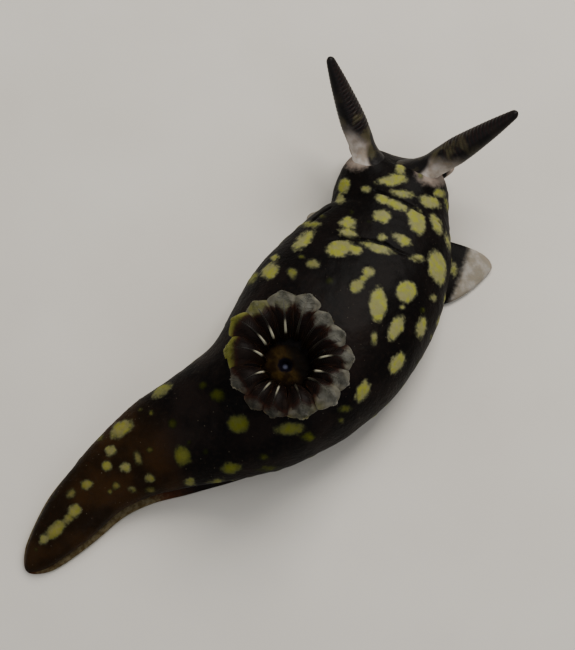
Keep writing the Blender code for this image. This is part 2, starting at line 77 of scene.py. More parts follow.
# The spine seen from above: its front end, and the way it points towards the head at stations
# along it, in degrees from +X.
SPINE_START = (1.74, -8.49)
HEADINGS = (
    (0.0, -63.0),
    (2.2, -63.5),
    (4.7, -73.5),
    (7.7, -82.5),
    (9.6, -91.0),
    (11.2, -105.0),
    (12.5, -116.0),
    (13.8, -119.5),
    (15.4, -114.0),
    (17.2, -102.0),
    (19.2, -89.0),
    (20.8, -88.5),
    (22.0, -95.0),
)
BODY_LENGTH = 22.0
SPINE_STEP = 0.05

# Stations along the spine, with the half width of the flanks, the height of the back, the half
# width of the foot and the height of the underside there.
GIRTH = (
    (0.0, 1.72, 2.22, 0.95, 0.60),
    (1.1, 2.00, 2.50, 1.08, 0.52),
    (1.9, 2.19, 2.72, 1.32, 0.34),
    (2.45, 2.36, 2.85, 1.65, 0.0),
    (3.85, 2.89, 3.12, 2.12, 0.0),
    (5.95, 3.34, 3.58, 2.70, 0.0),
    (8.0, 3.44, 3.95, 2.75, 0.0),
    (9.8, 3.16, 4.05, 2.50, 0.0),
    (11.2, 2.82, 3.90, 2.25, 0.0),
    (12.6, 2.46, 3.40, 2.05, 0.0),
    (13.8, 2.18, 2.90, 1.98, 0.0),
    (15.3, 1.84, 2.30, 1.85, 0.0),
    (16.8, 1.46, 1.80, 1.55, 0.0),
    (18.0, 1.22, 1.48, 1.34, 0.0),
    (19.5, 1.05, 1.20, 1.18, 0.0),
    (20.7, 0.78, 0.92, 0.90, 0.0),
    (21.6, 0.50, 0.62, 0.60, 0.0),
    (22.2, 0.30, 0.42, 0.40, 0.0),
)
HEAD_ROUND = 1.5
HEAD_LEVEL = 0.95
TAIL_ROUND = 0.8

# The skin's rings: how many close the head and the tail, and between them where each stretch of
# the body ends and how far apart its rings are.
HEAD_RINGS = 62
RING_SPACING = ((5.6, 0.040), (21.2, 0.062))
TAIL_RINGS = 16

# Section of the body. The foot is given as shares of its half width and of its edge's thickness,
# with the number of skin points up to the next one, and then come the groove and the flank.
# Skin counts as low below the groove, and fades out of that over shares of its level.
FOOT_EDGE = 0.30
FOOT_EDGE_SHARE = 0.26
FOOT_SECTION = (
    (0.0, 0.0, 4),
    (0.5, 0.0, 4),
    (0.86, 0.0, 3),
    (0.955, 0.03, 4),
    (1.0, 0.38, 4),
    (0.985, 0.78, 3),
    (0.93, 1.0, 3),
)
FOOT_TOP = ((0.4, 3), (0.75, 3))
GROOVE_LEVEL = 1.5
GROOVE_ANGLE = 40.0
FLANK_LEVEL = 0.42
BACK_FULLNESS = 0.88
FLANK_KNOTS = 13
FLANK_POINTS = 6
LOW_FADE = (1.0, 0.8)

# The corners of the foot's front edge.
CORNER_STATION = 3.10
CORNER_FRONT = 0.50
CORNER_BACK = 1.90
CORNER_ROOT = 1.20
CORNER_REACH = {"left": 2.95, "right": 4.24}
CORNER_FRONT_BOW = 6
CORNER_BACK_BOW = 3
CORNER_SAMPLES = 240

# The mouth, its lips and the short feelers beside it.
MOUTH_LEVEL = 0.90
LIP_HALF_WIDTH = 0.50
LIP_HALF_HEIGHT = 0.26
LIP_PROUD = 0.05
LIP_SPREAD = 0.34
SLIT_HALF_WIDTH = 0.42
SLIT_HALF_HEIGHT = 0.06
SLIT_DEPTH = 0.26
SLIT_FADE = (1.0, 0.6)
MOUTH_FADE = (-1.3, -0.6)
BROW_NOTCH = 0.14
BROW_HALF_WIDTH = 0.55
SHOULDER_PINCH = ((0.0, 0.0), (1.2, 0.0), (2.0, 0.07), (2.5, 0.24), (2.88, 0.40), (3.12, 0.28),
                  (3.8, 0.20), (5.3, 0.10), (7.0, 0.0), (22.0, 0.0))
PINCH_SIDE = (0.3, 1.6)
PINCH_LEVEL = (0.3, 0.9)
ORAL_LENGTH = 1.30
ORAL_STATION = 0.80
ORAL_SIDE = 0.85
ORAL_LEVEL = 1.00
ORAL_TURN = 52.0
ORAL_DIP = 8.0
ORAL_PATCH = 0.56
ORAL_NEAR_SIDE = 0.5
ORAL_PROFILE = ((0.0, 0.0, 1.0), (0.2, 0.17, 0.95), (0.4, 0.26, 0.74), (0.6, 0.32, 0.46),
                (0.8, 0.40, 0.18), (1.0, 0.56, 0.0))

# The rhinophores: where they stand, how they lie, and their radius along their length.
RHINO_STATION = 0.98
RHINO_SIDE = {"left": 1.04, "right": 0.80}
RHINO_ROOT_LEVEL = 1.95
RHINO_LENGTH = {"left": 4.42, "right": 4.82}
RHINO_RISE = 38.0
RHINO_TURN = {"left": 40.4, "right": -60.0}
RHINO_BEND = 0.22
RHINO_RADII = (
    (-0.12, 0.95),
    (-0.04, 0.78),
    (0.05, 0.60),
    (0.14, 0.49),
    (0.24, 0.51),
    (0.40, 0.54),
    (0.72, 0.375),
    (0.93, 0.215),
    (1.0, 0.14),
)
RHINO_SUNK = -0.12
RHINO_TIP = 0.965
RHINO_RINGS = 220
TIP_RINGS = 9
RHINO_SIDES = 56
RHINO_FLATNESS = 0.86
RHINO_FLATTENING = (0.0, 0.4)
LAMELLAE = 19
LAMELLAE_START = 0.30
LAMELLAE_END = 0.955
LAMELLAE_RISING = (LAMELLAE_START - 0.03, LAMELLAE_START + 0.05)
LAMELLAE_FADING = (LAMELLAE_END + 0.02, LAMELLAE_END - 0.03)
LAMELLA_DEPTH = 0.06
LAMELLA_SLANT = 1.1
GROOVE_SHARE = 0.20
REAR_RIB = 0.10
STALK_REAR = 0.10
STALK_REAR_FADE = (0.22, -0.05)
STALK_EDGE = ((0.0, -0.40), (0.24, -0.16), (0.36, 0.03), (0.65, 0.17), (0.86, 0.25), (1.0, 0.35))
FLARE_DARK = 0.7
FLARE_ALONG = (0.20, 0.04)
FLARE_REAR = (1.02, 0.55)
SHEATH_RADIUS = (0.40, 1.25)
SHEATH_HEIGHT = 0.16
SHEATH_ALONG = (-0.4, 0.1)
SHEATH_REAR = (0.75, -0.30)
FEELER_PALE = (0.15, 0.80)

# The gill: where it stands and how its plumes rise and spread.
GILL_STATION = 10.42
GILL_SIDE = -0.26
PLUME_RISE = (0.92, 1.05)
PLUME_PATH = ((0.86, 0.04), (0.96, 0.90), (1.56, 1.42), (2.34, 0.95))
PLUME_FULLNESS = ((0.0, 0.96), (0.5, 1.04), (0.8, 1.16), (1.0, 1.16))
PLUME_TIP = 0.86
TIP_BLUNT = 2.6
BLADE_SHARE = 0.97
BLADE_THICK = 0.06
BLADE_RINGS = 52
BLADE_ACROSS = 14
BLADE_TROUGH = 0.30
BLADE_BEHIND = 0.03
RACHIS_RADIUS = (0.070, 0.012)
RACHIS_TAPER = 0.7
RACHIS_SIDES = 10
RACHIS_END = 0.82
RACHIS_PROUD = 0.02
RACHIS_POINTS = (0.04, 0.96, 40)
LEAFLETS = 22
LEAFLET_WIDTH = 0.17
LEAFLET_THICK = 0.05
LEAFLET_BEND = -0.28
LEAFLET_RINGS = 7
LEAFLET_CORNERS = 6
LEAFLET_BLUNT = 5
LEAFLET_ROOT = 0.75
LEAFLET_WIDENING = 0.35
LEAFLET_THINNING = 0.6
LEAFLET_EDGE = 0.02
LEAFLET_SIZES = (0.88, 1.02)
LEAFLET_TURN = ((0.0, 18.0), (0.5, 26.0), (0.8, 40.0), (1.0, 62.0))
LEAFLET_SHARE = ((0.0, 0.96), (0.65, 0.94), (0.8, 0.82), (0.9, 0.56), (1.0, 0.30))

# The plumes as the photograph shows them: their bearing in degrees from +X and how far they reach
# beside the path, then the share of the path's reach where their dark inner part ends, which is
# partly pigment and partly painted shade on the plumes that face away from the light, how much
# further out the dark goes at their edges as painted shade in the valleys between plumes, how
# yellow their outer part is, how pale it is, which is dimmed as painted shade on the plumes that
# face away from the light, how bright the painted highlight on their midrib is, which is near
# nothing on plumes whose inner faces lie in shade, and at which share of its length it lies.
PLUMES = (
    (-167.0, 1.02, 0.70, 0.14, 0.35, 0.85, 1.00, 0.40),
    (-142.0, 1.00, 0.74, 0.18, 0.45, 0.95, 0.90, 0.48),
    (-117.0, 0.93, 0.60, 0.18, 0.30, 1.00, 0.03, 0.35),
    (-92.0, 0.92, 0.58, 0.16, 0.15, 1.00, 0.00, 0.35),
    (-68.0, 1.05, 0.62, 0.20, 0.20, 1.00, 0.05, 0.35),
    (-45.0, 1.05, 0.64, 0.20, 0.50, 0.85, 0.95, 0.33),
    (-18.0, 1.02, 0.76, 0.08, 0.66, 0.85, 1.00, 0.32),
    (4.0, 1.03, 0.90, 0.00, 0.95, 0.95, 0.90, 0.33),
    (33.0, 0.94, 0.82, 0.00, 0.95, 0.95, 0.90, 0.36),
    (74.0, 0.94, 0.82, 0.06, 0.35, 0.50, 0.75, 0.44),
    (98.0, 1.00, 0.84, 0.08, 0.10, 0.40, 0.60, 0.50),
    (115.0, 1.00, 0.84, 0.10, 0.10, 0.40, 0.65, 0.50),
    (145.0, 1.01, 0.78, 0.12, 0.50, 0.65, 0.10, 0.40),
    (175.0, 1.05, 0.68, 0.14, 0.50, 0.80, 0.12, 0.35),
)
PLUME_TRAITS = ("dark_to", "valley_shade", "yellow", "pale", "painted_highlight", "highlight_at")

# The rows of leaflets on each plume: their side, and the name that their length is carried by.
LEAFLET_ROWS = ((1.0, "length_before"), (-1.0, "length_after"))

# The floor of the gill's cup and its pore, from the middle outwards, and how the back swells
# round them.
DISC_PROFILE = ((0.0, 0.04), (0.10, 0.06), (0.17, 0.15), (0.25, 0.22), (0.34, 0.25),
                (0.45, 0.23), (0.62, 0.18), (0.82, 0.13), (1.05, 0.02), (1.20, -0.20))
DISC_ASIDE = (0.0, 0.14)
DISC_MOVED = (1.0, 0.3)
# The side of the cup's floor nearest the light, which the plumes there shade, as a bearing in degrees from
# +X, and where across the floor that painted shade starts and is full.
DISC_SHADE_BEARING = -115.0
DISC_SHADE_FROM = (-0.05, 0.50)
DISC_SIDES = 104
DISC_RINGS = 44
DISC_FOLD = 0.007
DISC_FOLDED = (0.30, 0.65)
GILL_SWELL = (1.5, 0.9)
PORE_DIP = (0.65, 0.35)
PORE_DIP_SHARE = 1.7
SWELL_HEIGHT = 0.15
SWELL_LEVEL = (3.2, 3.8)

# The yellow-green spots as the photograph shows them: their middle in its pixels, their length
# and width in millimetres, their slant in degrees from level, and how bright they are, which is
# partly their own tone and partly painted shade, as those on the shaded back behind the gill are
# the dimmest.
SPOTS = (
    (400, 169, 0.50, 0.36, 100, 1.00),
    (392, 180, 1.05, 0.42, 8, 1.00),
    (421, 176, 0.28, 0.24, 0, 0.70),
    (344, 186, 0.55, 0.45, 70, 0.80),
    (340, 200, 0.50, 0.40, -60, 0.80),
    (366, 190, 0.35, 0.28, 0, 0.80),
    (402, 194, 0.80, 0.28, -8, 0.85),
    (430, 202, 0.85, 0.42, -25, 1.00),
    (440, 193, 0.42, 0.33, -20, 1.00),
    (447, 205, 0.45, 0.15, -75, 0.80),
    (382, 199, 0.55, 0.38, 0, 0.95),
    (397, 205, 0.80, 0.35, -25, 0.92),
    (382, 216, 0.72, 0.50, -10, 1.00),
    (348, 223, 0.65, 0.42, -10, 0.95),
    (347, 233, 0.68, 0.32, -12, 0.95),
    (322, 216, 0.28, 0.18, -10, 0.60),
    (310, 224, 0.75, 0.22, 0, 0.75),
    (303, 241, 0.95, 0.42, 42, 0.90),
    (352, 212, 0.18, 0.18, 0, 0.40),
    (368, 222, 0.15, 0.15, 0, 0.40),
    (417, 221, 1.05, 0.62, -71, 1.00),
    (436, 224, 0.75, 0.38, -63, 1.00),
    (382, 237, 0.33, 0.26, 0, 0.90),
    (402, 240, 0.78, 0.36, -30, 1.00),
    (448, 241, 0.62, 0.18, -75, 0.90),
    (340, 248, 1.00, 0.62, 10, 0.84),
    (354, 250, 0.60, 0.36, -15, 0.85),
    (378, 248, 1.20, 0.36, -18, 1.00),
    (417, 258, 0.55, 0.28, -10, 0.90),
    (437, 267, 1.30, 0.66, -80, 1.00),
    (454, 269, 0.50, 0.25, 90, 0.90),
    (301, 257, 0.25, 0.20, 0, 0.60),
    (313, 264, 0.50, 0.38, 10, 0.75),
    (292, 273, 0.40, 0.35, 90, 0.70),
    (369, 272, 0.45, 0.42, 0, 0.85),
    (357, 286, 0.58, 0.50, 30, 0.80),
    (363, 279, 0.40, 0.30, 55, 0.78),
    (378, 304, 1.22, 0.68, 88, 0.86),
    (406, 292, 0.85, 0.75, 60, 1.00),
    (402, 307, 0.20, 0.20, 0, 0.80),
    (433, 298, 0.28, 0.28, 0, 0.80),
    (445, 299, 0.35, 0.15, 90, 0.80),
    (396, 328, 1.05, 0.50, 65, 1.00),
    (421, 328, 0.75, 0.40, 80, 1.00),
    (441, 322, 0.60, 0.28, 65, 0.90),
    (423, 310, 0.20, 0.20, 0, 0.40),
    (330, 281, 0.30, 0.30, 0, 0.25),
    (270, 271, 0.75, 0.50, 35, 0.82),
    (274, 257, 0.30, 0.30, 0, 0.80),
    (252, 279, 0.60, 0.30, 60, 0.70),
    (363, 391, 0.80, 0.45, 60, 0.85),
    (344, 409, 0.50, 0.28, 0, 0.60),
    (341, 421, 0.22, 0.22, 0, 0.62),
    (374, 338, 0.45, 0.24, 80, 0.80),
    (397, 363, 0.85, 0.50, 60, 0.90),
    (432, 337, 0.24, 0.20, 0, 0.70),
    (418, 362, 0.30, 0.20, 60, 0.30),
    (161, 391, 0.85, 0.40, 35, 0.72),
    (121, 429, 0.95, 0.55, 35, 0.73),
    (101, 438, 0.35, 0.18, 30, 0.60),
    (92, 445, 0.15, 0.15, 0, 0.50),
    (140, 410, 0.15, 0.15, 0, 0.60),
    (151, 413, 0.15, 0.15, 0, 0.60),
    (128, 408, 0.15, 0.15, 0, 0.60),
    (110, 451, 0.42, 0.40, 0, 0.75),
    (107, 466, 0.40, 0.38, 0, 0.72),
    (125, 467, 0.42, 0.38, 0, 0.75),
    (138, 458, 0.52, 0.30, -80, 0.65),
    (150, 450, 0.25, 0.25, 0, 0.50),
    (150, 478, 0.38, 0.34, -30, 0.70),
    (116, 486, 0.30, 0.30, 0, 0.60),
    (132, 489, 0.35, 0.20, -30, 0.68),
    (110, 492, 0.18, 0.18, 0, 0.60),
    (151, 490, 0.35, 0.25, 0, 0.58),
    (87, 485, 0.42, 0.38, 0, 0.68),
    (71, 494, 0.40, 0.32, 45, 0.65),
    (74, 511, 0.55, 0.50, 30, 0.72),
    (55, 530, 1.05, 0.50, 40, 0.69),
    (68, 519, 0.50, 0.35, 45, 0.67),
    (45, 538, 0.45, 0.35, 60, 0.75),
    (36, 549, 0.12, 0.12, 0, 0.50),
    (54, 496, 0.10, 0.10, 0, 0.40),
    (183, 456, 0.80, 0.60, 100, 0.60),
    (189, 443, 0.20, 0.20, 0, 0.30),
    (172, 424, 0.35, 0.35, 0, 0.30),
    (218, 395, 0.55, 0.50, 0, 0.42),
    (238, 424, 0.80, 0.75, 0, 0.62),
    (290, 429, 1.15, 0.50, 5, 0.66),
    (309, 437, 0.50, 0.35, 0, 0.55),
    (263, 457, 0.40, 0.26, 0, 0.50),
    (231, 468, 0.75, 0.42, 0, 0.62),
    (270, 468, 0.70, 0.22, 10, 0.50),
    (215, 481, 0.55, 0.20, 5, 0.72),
    (190, 482, 0.42, 0.32, 10, 0.72),
    (203, 385, 0.30, 0.30, 0, 0.32),
    (206, 452, 0.20, 0.20, 0, 0.20),
)
SEEN_CLOSER = 1.03
SEEN_FACING = 0.08
TONE_POWER = 2.0
PIXELS_A_MM_BEHIND = 1.5
SPOT_REACH = 1.6
SPOT_HEIGHT = 0.02
SPOT_EDGE = (-0.03, 0.10)

# The like spots on the sides that the photograph hides: where they may lie, and then the
# ranges that their size, shape and brightness are drawn from and how far apart they keep.
HIDDEN_FACING = 0.06
HIDDEN_UNDER = -0.5
HIDDEN_LOW = 0.2
HIDDEN_START = 0.4
HIDDEN_TRIES = 600
HIDDEN_SIZES = (0.3, 0.4, 0.5, 0.7, 0.95)
HIDDEN_GROWTH = (0.8, 1.25)
HIDDEN_WIDTH = (0.45, 0.9)
HIDDEN_BRIGHTNESS = (0.65, 1.0)
HIDDEN_DIMMED = 0.3
HIDDEN_DIMMING = (12.0, 16.0)
HIDDEN_ROOM = 0.55
HIDDEN_CLEAR = 0.3

# The folds across the neck as chains of places in the photograph, and the skin's finer relief.
NECK_FOLDS = (
    ((330, 240), (345, 238), (365, 240), (385, 243), (395, 250), (420, 262)),
    ((375, 190), (400, 200), (420, 212), (440, 222)),
    ((330, 208), (320, 214), (310, 222)),
)
FOLD_WANDER = 0.05
FOLD_WANDER_SIZE = 0.4
FOLD_HALF_WIDTH = 0.06
FOLD_DEPTH = 0.07
HILL_HEIGHT = 0.04
HILL_SIZE = 1.3
WRINKLE_HEIGHT = 0.012
WRINKLE_SIZE = 0.3
MARGIN_WIDTH = 0.40
MARGIN_FULL = 0.3
MARGIN_STRENGTH = ((0.0, 0.0), (5.0, 0.0), (7.0, 0.12), (15.5, 0.25), (17.3, 0.95), (20.5, 0.90),
                   (22.0, 0.50))
LOBE_WIDTH = 1.05
LOBE_FADE = (-0.35, 0.40)
LOBE_END = (4.9, 4.5)
TAIL_TURN = (14.2, 16.5)
HEAD_BLACK = (9.0, 5.5)

SKIN_NODES = (
    "head",
    "neck",
    "trunk_front",
    "trunk_gill",
    "trunk_rear",
    "tail_base",
    "tail_middle",
    "tail_tip",
    "oral_tentacle_left",
    "oral_tentacle_right",
    "foot_corner_left",
    "foot_corner_right",
)

# The kinds of node that work out a number or a vector, and the detail of the soft clouds.
MATHS = "ShaderNodeMath"
VECTOR_MATHS = "ShaderNodeVectorMath"
CLOUD_DETAIL = 3.0

# The studio: colours as sRGB hex values, and each light's name, bearing, height, distance, size,
# power in watts and colour.
FLOOR_REACH = 400.0
FLOOR_COLOURS = ("d2cdc4", "dcd8d0")
STUDIO_COLOUR = "f4f3f0"
STUDIO_STRENGTH = 0.45
LIGHTS = (
    ("key_light", -82.0, 52.0, 90.0, 45.0, 0.070, "fffaf2"),
    ("side_light", 160.0, 40.0, 110.0, 70.0, 0.018, "f2f6ff"),
    ("back_light", 60.0, 35.0, 120.0, 70.0, 0.018, "ffffff"),
)


def value_through(knots, at):
    """The smooth curve through knots, which are (place, value) pairs, at one or many places."""
    places, values = np.array(knots, float).T
    ends = np.concatenate(([0], np.arange(len(places) - 1)))
    nexts = np.concatenate((np.arange(1, len(places)), [len(places) - 1]))
    slopes = (values[nexts] - values[ends]) / (places[nexts] - places[ends])
    i = np.clip(np.searchsorted(places, at, side="right") - 1, 0, len(places) - 2)
    span = places[i + 1] - places[i]
    t = (at - places[i]) / span
    return (
        (2 * t**3 - 3 * t**2 + 1) * values[i]
        + (t**3 - 2 * t**2 + t) * span * slopes[i]
        + (3 * t**2 - 2 * t**3) * values[i + 1]
        + (t**3 - t**2) * span * slopes[i + 1]
    )


def columns_through(rows, at):
    """The smooth curve through each further column of rows, whose first column holds the places."""
    table = np.array(rows)
    return [value_through(table[:, (0, k)], at) for k in range(1, table.shape[1])]


def smooth_step(low, high, at):
    """0 below low and 1 above high, with a soft turn between them."""
    t = np.clip((at - low) / (high - low), 0.0, 1.0)
    return t * t * (3.0 - 2.0 * t)


def unit(vectors):
    """The same directions at length one."""
    return vectors / np.linalg.norm(vectors, axis=-1, keepdims=True)


def spread(value, like):
    """A value at every point that like has one for."""
    return value + 0.0 * like


def full_turn(sides):
    """Angles all the way round, one for each side."""
    return np.linspace(0.0, 2.0 * math.pi, sides, endpoint=False)


def tipped_shares(start, tip, rings):
    """Shares of a length from start to tip, and then those of the rings that round off its end."""
    closing = np.linspace(0.0, 0.5 * math.pi, TIP_RINGS + 1, endpoint=False)[1:]
    return np.append(np.linspace(start, tip, rings), tip + (1.0 - tip) * np.sin(closing))


def turned(ahead, degrees, rise):
    """A level way, turned to its left by degrees and raised by rise."""
    turn = math.radians(degrees)
    lift = math.radians(rise)
    level = ahead * math.cos(turn) + np.cross(UP, ahead) * math.sin(turn)
    return level * math.cos(lift) + UP * math.sin(lift)


def walked_spine():
    """Stations, points on the floor and ways to the head along the spine."""
    stations = np.arange(round(BODY_LENGTH / SPINE_STEP) + 1) * SPINE_STEP
    turns = np.radians(value_through(HEADINGS, stations))
    ahead = np.stack((np.cos(turns), np.sin(turns)), 1)
    walked = np.cumsum(ahead[:-1] * SPINE_STEP, 0)
    points = np.array(SPINE_START) - np.vstack((np.zeros(2), walked))
    return stations, points, ahead


SPINE_STATIONS, SPINE_POINTS, SPINE_AHEAD = walked_spine()


def body_frame(station):
    """The point on the floor at each station, the way to the head and the way to the left."""
    point = [np.interp(station, SPINE_STATIONS, SPINE_POINTS[:, k]) for k in range(2)]
    ahead = [np.interp(station, SPINE_STATIONS, SPINE_AHEAD[:, k]) for k in range(2)]
    flat = np.zeros_like(point[0])
    ahead = unit(np.stack((*ahead, flat), -1))
    return np.stack((*point, flat), -1), ahead, np.cross(UP, ahead)


def on_body(station, side, level):
    """Points given by their station, their distance to the animal's left and their height."""
    point, _, left = body_frame(station)
    return point + left * np.expand_dims(side, -1) + UP * np.expand_dims(level, -1)


def shift_to_frame():
    """How far the frame's papilla stands from where the spine alone would put it."""
    low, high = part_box("anal_papilla")
    middle = np.array((low + high) / 2) / MM
    return (middle - on_body(GILL_STATION, GILL_SIDE, 0.0))[:2]


SHIFT = shift_to_frame()
SPINE_POINTS += SHIFT


def camera_axes():
    """The way the camera looks, its right and its up."""
    look = turned(ALONG_Y, CAMERA_AZIMUTH, -CAMERA_ELEVATION)
    right = unit(np.cross(look, UP))
    return look, right, np.cross(right, look)


def camera_place():
    """Where the camera stands, in millimetres."""
    aim = np.array(CAMERA_AIM) + np.append(SHIFT, 0.0)
    return aim - camera_axes()[0] * CAMERA_DISTANCE


def in_photo(points):
    """Where points show in the photograph, in pixels from its top left corner."""
    look, right, up = camera_axes()
    from_eye = points - camera_place()
    scale = PIXELS_PER_MM * CAMERA_DISTANCE / (from_eye @ look)
    x = PHOTO_WIDTH / 2 + (from_eye @ right) * scale
    y = PHOTO_HEIGHT / 2 - (from_eye @ up) * scale
    return np.stack((x, y), -1)


def corner_reach(stations, side):
    """How far a corner of the foot stands out at each station, 0 where there is none."""
    share = np.linspace(0.0, 1.0, CORNER_SAMPLES)
    out = CORNER_ROOT + (CORNER_REACH[side] - CORNER_ROOT) * share
    front = CORNER_STATION - CORNER_FRONT * np.sqrt(1.0 - share**CORNER_FRONT_BOW)
    back = CORNER_STATION + CORNER_BACK * (1.0 - share**CORNER_BACK_BOW)
    inside = (stations[:, None] >= front) & (stations[:, None] <= back)
    return np.max(np.where(inside, out, 0.0), 1)


def half_section(stations, side):
    """Knots (side, up) of the section, from the middle of the sole round one flank to the back.

    Also gives how many skin points each knot has up to the next one, the half width of the foot
    and the level of the groove over it.
    """
    width, height, foot, lift = columns_through(GIRTH, stations)
    lift = np.maximum(lift, 0.0)
    edge = np.minimum(FOOT_EDGE, FOOT_EDGE_SHARE * (height - lift))
    waist = lift + GROOVE_LEVEL * edge
    widest = lift + FLANK_LEVEL * (height - lift)
    foot = np.maximum(foot, corner_reach(stations, side))
    groove = width * math.cos(math.radians(GROOVE_ANGLE))
    knots = [(share * foot, lift + level * edge) for share, level, _ in FOOT_SECTION]
    foot_side, foot_up = knots[-1]
    for share, _ in FOOT_TOP:
        knots.append((foot_side + (groove - foot_side) * share, foot_up + (waist - foot_up) * share))
    for i in range(FLANK_KNOTS - 1):
        angle = math.radians(-GROOVE_ANGLE + (90.0 + GROOVE_ANGLE) * i / (FLANK_KNOTS - 1))
        if angle < 0:
            drop = math.sin(angle) / math.sin(math.radians(GROOVE_ANGLE))
            knots.append((width * math.cos(angle), widest + (widest - waist) * drop))
        else:
            rise = math.sin(angle) ** BACK_FULLNESS
            out = abs(math.cos(angle)) ** BACK_FULLNESS
            knots.append((width * out, widest + (height - widest) * rise))
    knots.append((0.0 * width, height))
    counts = [row[-1] for row in FOOT_SECTION + FOOT_TOP] + [FLANK_POINTS] * (FLANK_KNOTS - 1)
    return np.stack([np.stack(knot, -1) for knot in knots], 1), counts, foot, waist


def curve_through(knots, counts):
    """A smooth curve through each row of knots, which goes on as its mirror image at both ends."""
    flip = np.array((-1.0, 1.0))
    padded = np.concatenate((knots[:, 1:2] * flip, knots, knots[:, -2:-1] * flip), 1)
    runs = []
    for k, count in enumerate(counts):
        a, b, c, d = (padded[:, k + n : k + n + 1] for n in range(4))
        t = (np.arange(count) / count)[None, :, None]
        bend = (2 * a - 5 * b + 4 * c - d) * t**2 + (3 * b - a - 3 * c + d) * t**3
        runs.append(0.5 * (2 * b + (c - a) * t + bend))
    runs.append(knots[:, -1:])
    return np.concatenate(runs, 1)


def ring_stations():
    """Stations of the skin's rings, closer together over the head and at the two round ends."""
    turns = np.linspace(0.0, 0.5 * math.pi, HEAD_RINGS + 1)[1:]
    stations = list(HEAD_ROUND * (1.0 - np.cos(turns)))
    for end, spacing in RING_SPACING:
        count = round((end - stations[-1]) / spacing)
        stations += list(np.linspace(stations[-1], end, count + 1)[1:])
    turns = np.linspace(0.5 * math.pi, 0.0, TAIL_RINGS + 1)[1:-1]
    stations += list(BODY_LENGTH - TAIL_ROUND * (1.0 - np.cos(turns)))
    return np.array(stations)


def bare_body():
    """The smooth body as a grid of points, with what each point needs to know of its place.

    Returns the grid, each point's station, how far it lies inside the foot's edge, whether it is
    below the groove over the foot, and whether it is on the outer part of a corner of the foot.
    """
    stations = ring_stations()
    halves = []
    for side, sign in SIDES.items():
        knots, counts, foot, waist = half_section(stations, side)
        half = curve_through(knots, counts)
        if side == "right":
            half = half[:, -2:0:-1]
        out = np.maximum(half[..., 0], 0.0)
        up = np.maximum(half[..., 1], knots[:, :1, 1])
        lobe = smooth_step(*LOBE_FADE, out - (CORNER_REACH[side] - LOBE_WIDTH))
        lobe = lobe * smooth_step(*LOBE_END, stations)[:, None]
        low = smooth_step(*LOW_FADE, up / waist[:, None])
        halves.append((out * sign, up, foot[:, None] - out, low, lobe * low))
    across, up, inside, low, lobe = (np.concatenate(both, 1) for both in zip(*halves))
    head = np.clip(stations / HEAD_ROUND, 0.0, 1.0)
    tail = np.clip((BODY_LENGTH - stations) / TAIL_ROUND, 0.0, 1.0)
    shrink = np.sqrt((1.0 - (1.0 - head) ** 2) * (1.0 - (1.0 - tail) ** 2))[:, None]
    level = np.where(stations < HEAD_ROUND, HEAD_LEVEL, 0.0)[:, None]
    station = np.repeat(stations[:, None], across.shape[1], 1)
    grid = on_body(station, across * shrink, level + (up - level) * shrink)
    return pinch_shoulder(grid, station, across), station, inside, low, lobe


def grid_normals(grid):
    """The outward direction at each point of the skin's grid."""
    along = np.gradient(grid, axis=0)
    around = np.roll(grid, -1, 1) - np.roll(grid, 1, 1)
    return unit(np.cross(along, around))


def lumps(points, size):
    """Soft noise from about -1 to 1 at points, with hills about size across."""
    flat = (points / size).reshape(-1, 3)
    return np.array([noise.noise(Vector(p)) for p in flat]).reshape(points.shape[:-1])


def shape_mouth(grid):
    """Pushes out the lips and sinks the line of the mouth; also gives how much it sinks there."""
    point, ahead, left = body_frame(0.0)
    offset = grid - point - UP * MOUTH_LEVEL
    side, up, front = offset @ left, offset @ UP, offset @ ahead
    ring = np.hypot(side / LIP_HALF_WIDTH, up / LIP_HALF_HEIGHT)
    lips = LIP_PROUD * np.exp(-(((ring - 1.0) / LIP_SPREAD) ** 2))
    line = np.exp(-((up / SLIT_HALF_HEIGHT) ** 2))
    line = line * smooth_step(*SLIT_FADE, abs(side) / SLIT_HALF_WIDTH)
    notch = BROW_NOTCH * np.exp(-((side / BROW_HALF_WIDTH) ** 2))
    at_front = smooth_step(*MOUTH_FADE, front)
    push = (lips - notch - SLIT_DEPTH * line) * at_front
    return grid + ahead * push[..., None], line * at_front


def pinch_shoulder(grid, station, section_side):
    """Draws in the left flank behind the head, where the neck folds as the animal turns."""
    _, _, left = body_frame(station)
    share = smooth_step(*PINCH_SIDE, section_side) * smooth_step(*PINCH_LEVEL, grid[..., 2])
    return grid - left * (value_through(SHOULDER_PINCH, station) * share)[..., None]


def off_axis(grid, root, way):
    """How far points lie along an axis from its root, how far off it, and the way off it."""
    offset = grid - root
    along = offset @ way
    off = offset - along[..., None] * way
    distance = np.linalg.norm(off, axis=-1)
    return along, distance, off / np.maximum(distance, NO_LENGTH)[..., None]


def draw_out_feeler(grid, side):
    """Draws the skin beside the mouth out into a short blunt feeler; also gives how pale it is."""
    _, ahead, _ = body_frame(ORAL_STATION)
    root = on_body(ORAL_STATION, ORAL_SIDE * SIDES[side], ORAL_LEVEL)
    way = turned(ahead, ORAL_TURN * SIDES[side], -ORAL_DIP)
    along, distance, away = off_axis(grid, root, way)
    surface = along[np.unravel_index(np.argmin(np.where(along > 0, distance, np.inf)), along.shape)]
    share = np.clip(distance / ORAL_PATCH, 0.0, 1.0)
    radius, height = columns_through(ORAL_PROFILE, share)
    taken = ((share < 1.0) & (along > ORAL_NEAR_SIDE * surface))[..., None]
    lifted = way * (height * (ORAL_LENGTH - surface))[..., None]
    moved = grid + np.where(taken, lifted + away * (radius - distance)[..., None], 0.0)
    return moved, smooth_step(*FEELER_PALE, height) * taken[..., 0]


def rhinophore_axis(side):
    """Root and direction of a rhinophore, and the way to the head there."""
    _, ahead, _ = body_frame(RHINO_STATION)
    root = on_body(RHINO_STATION, RHINO_SIDE[side] * SIDES[side], RHINO_ROOT_LEVEL)
    return root, turned(ahead, RHINO_TURN[side], RHINO_RISE), ahead


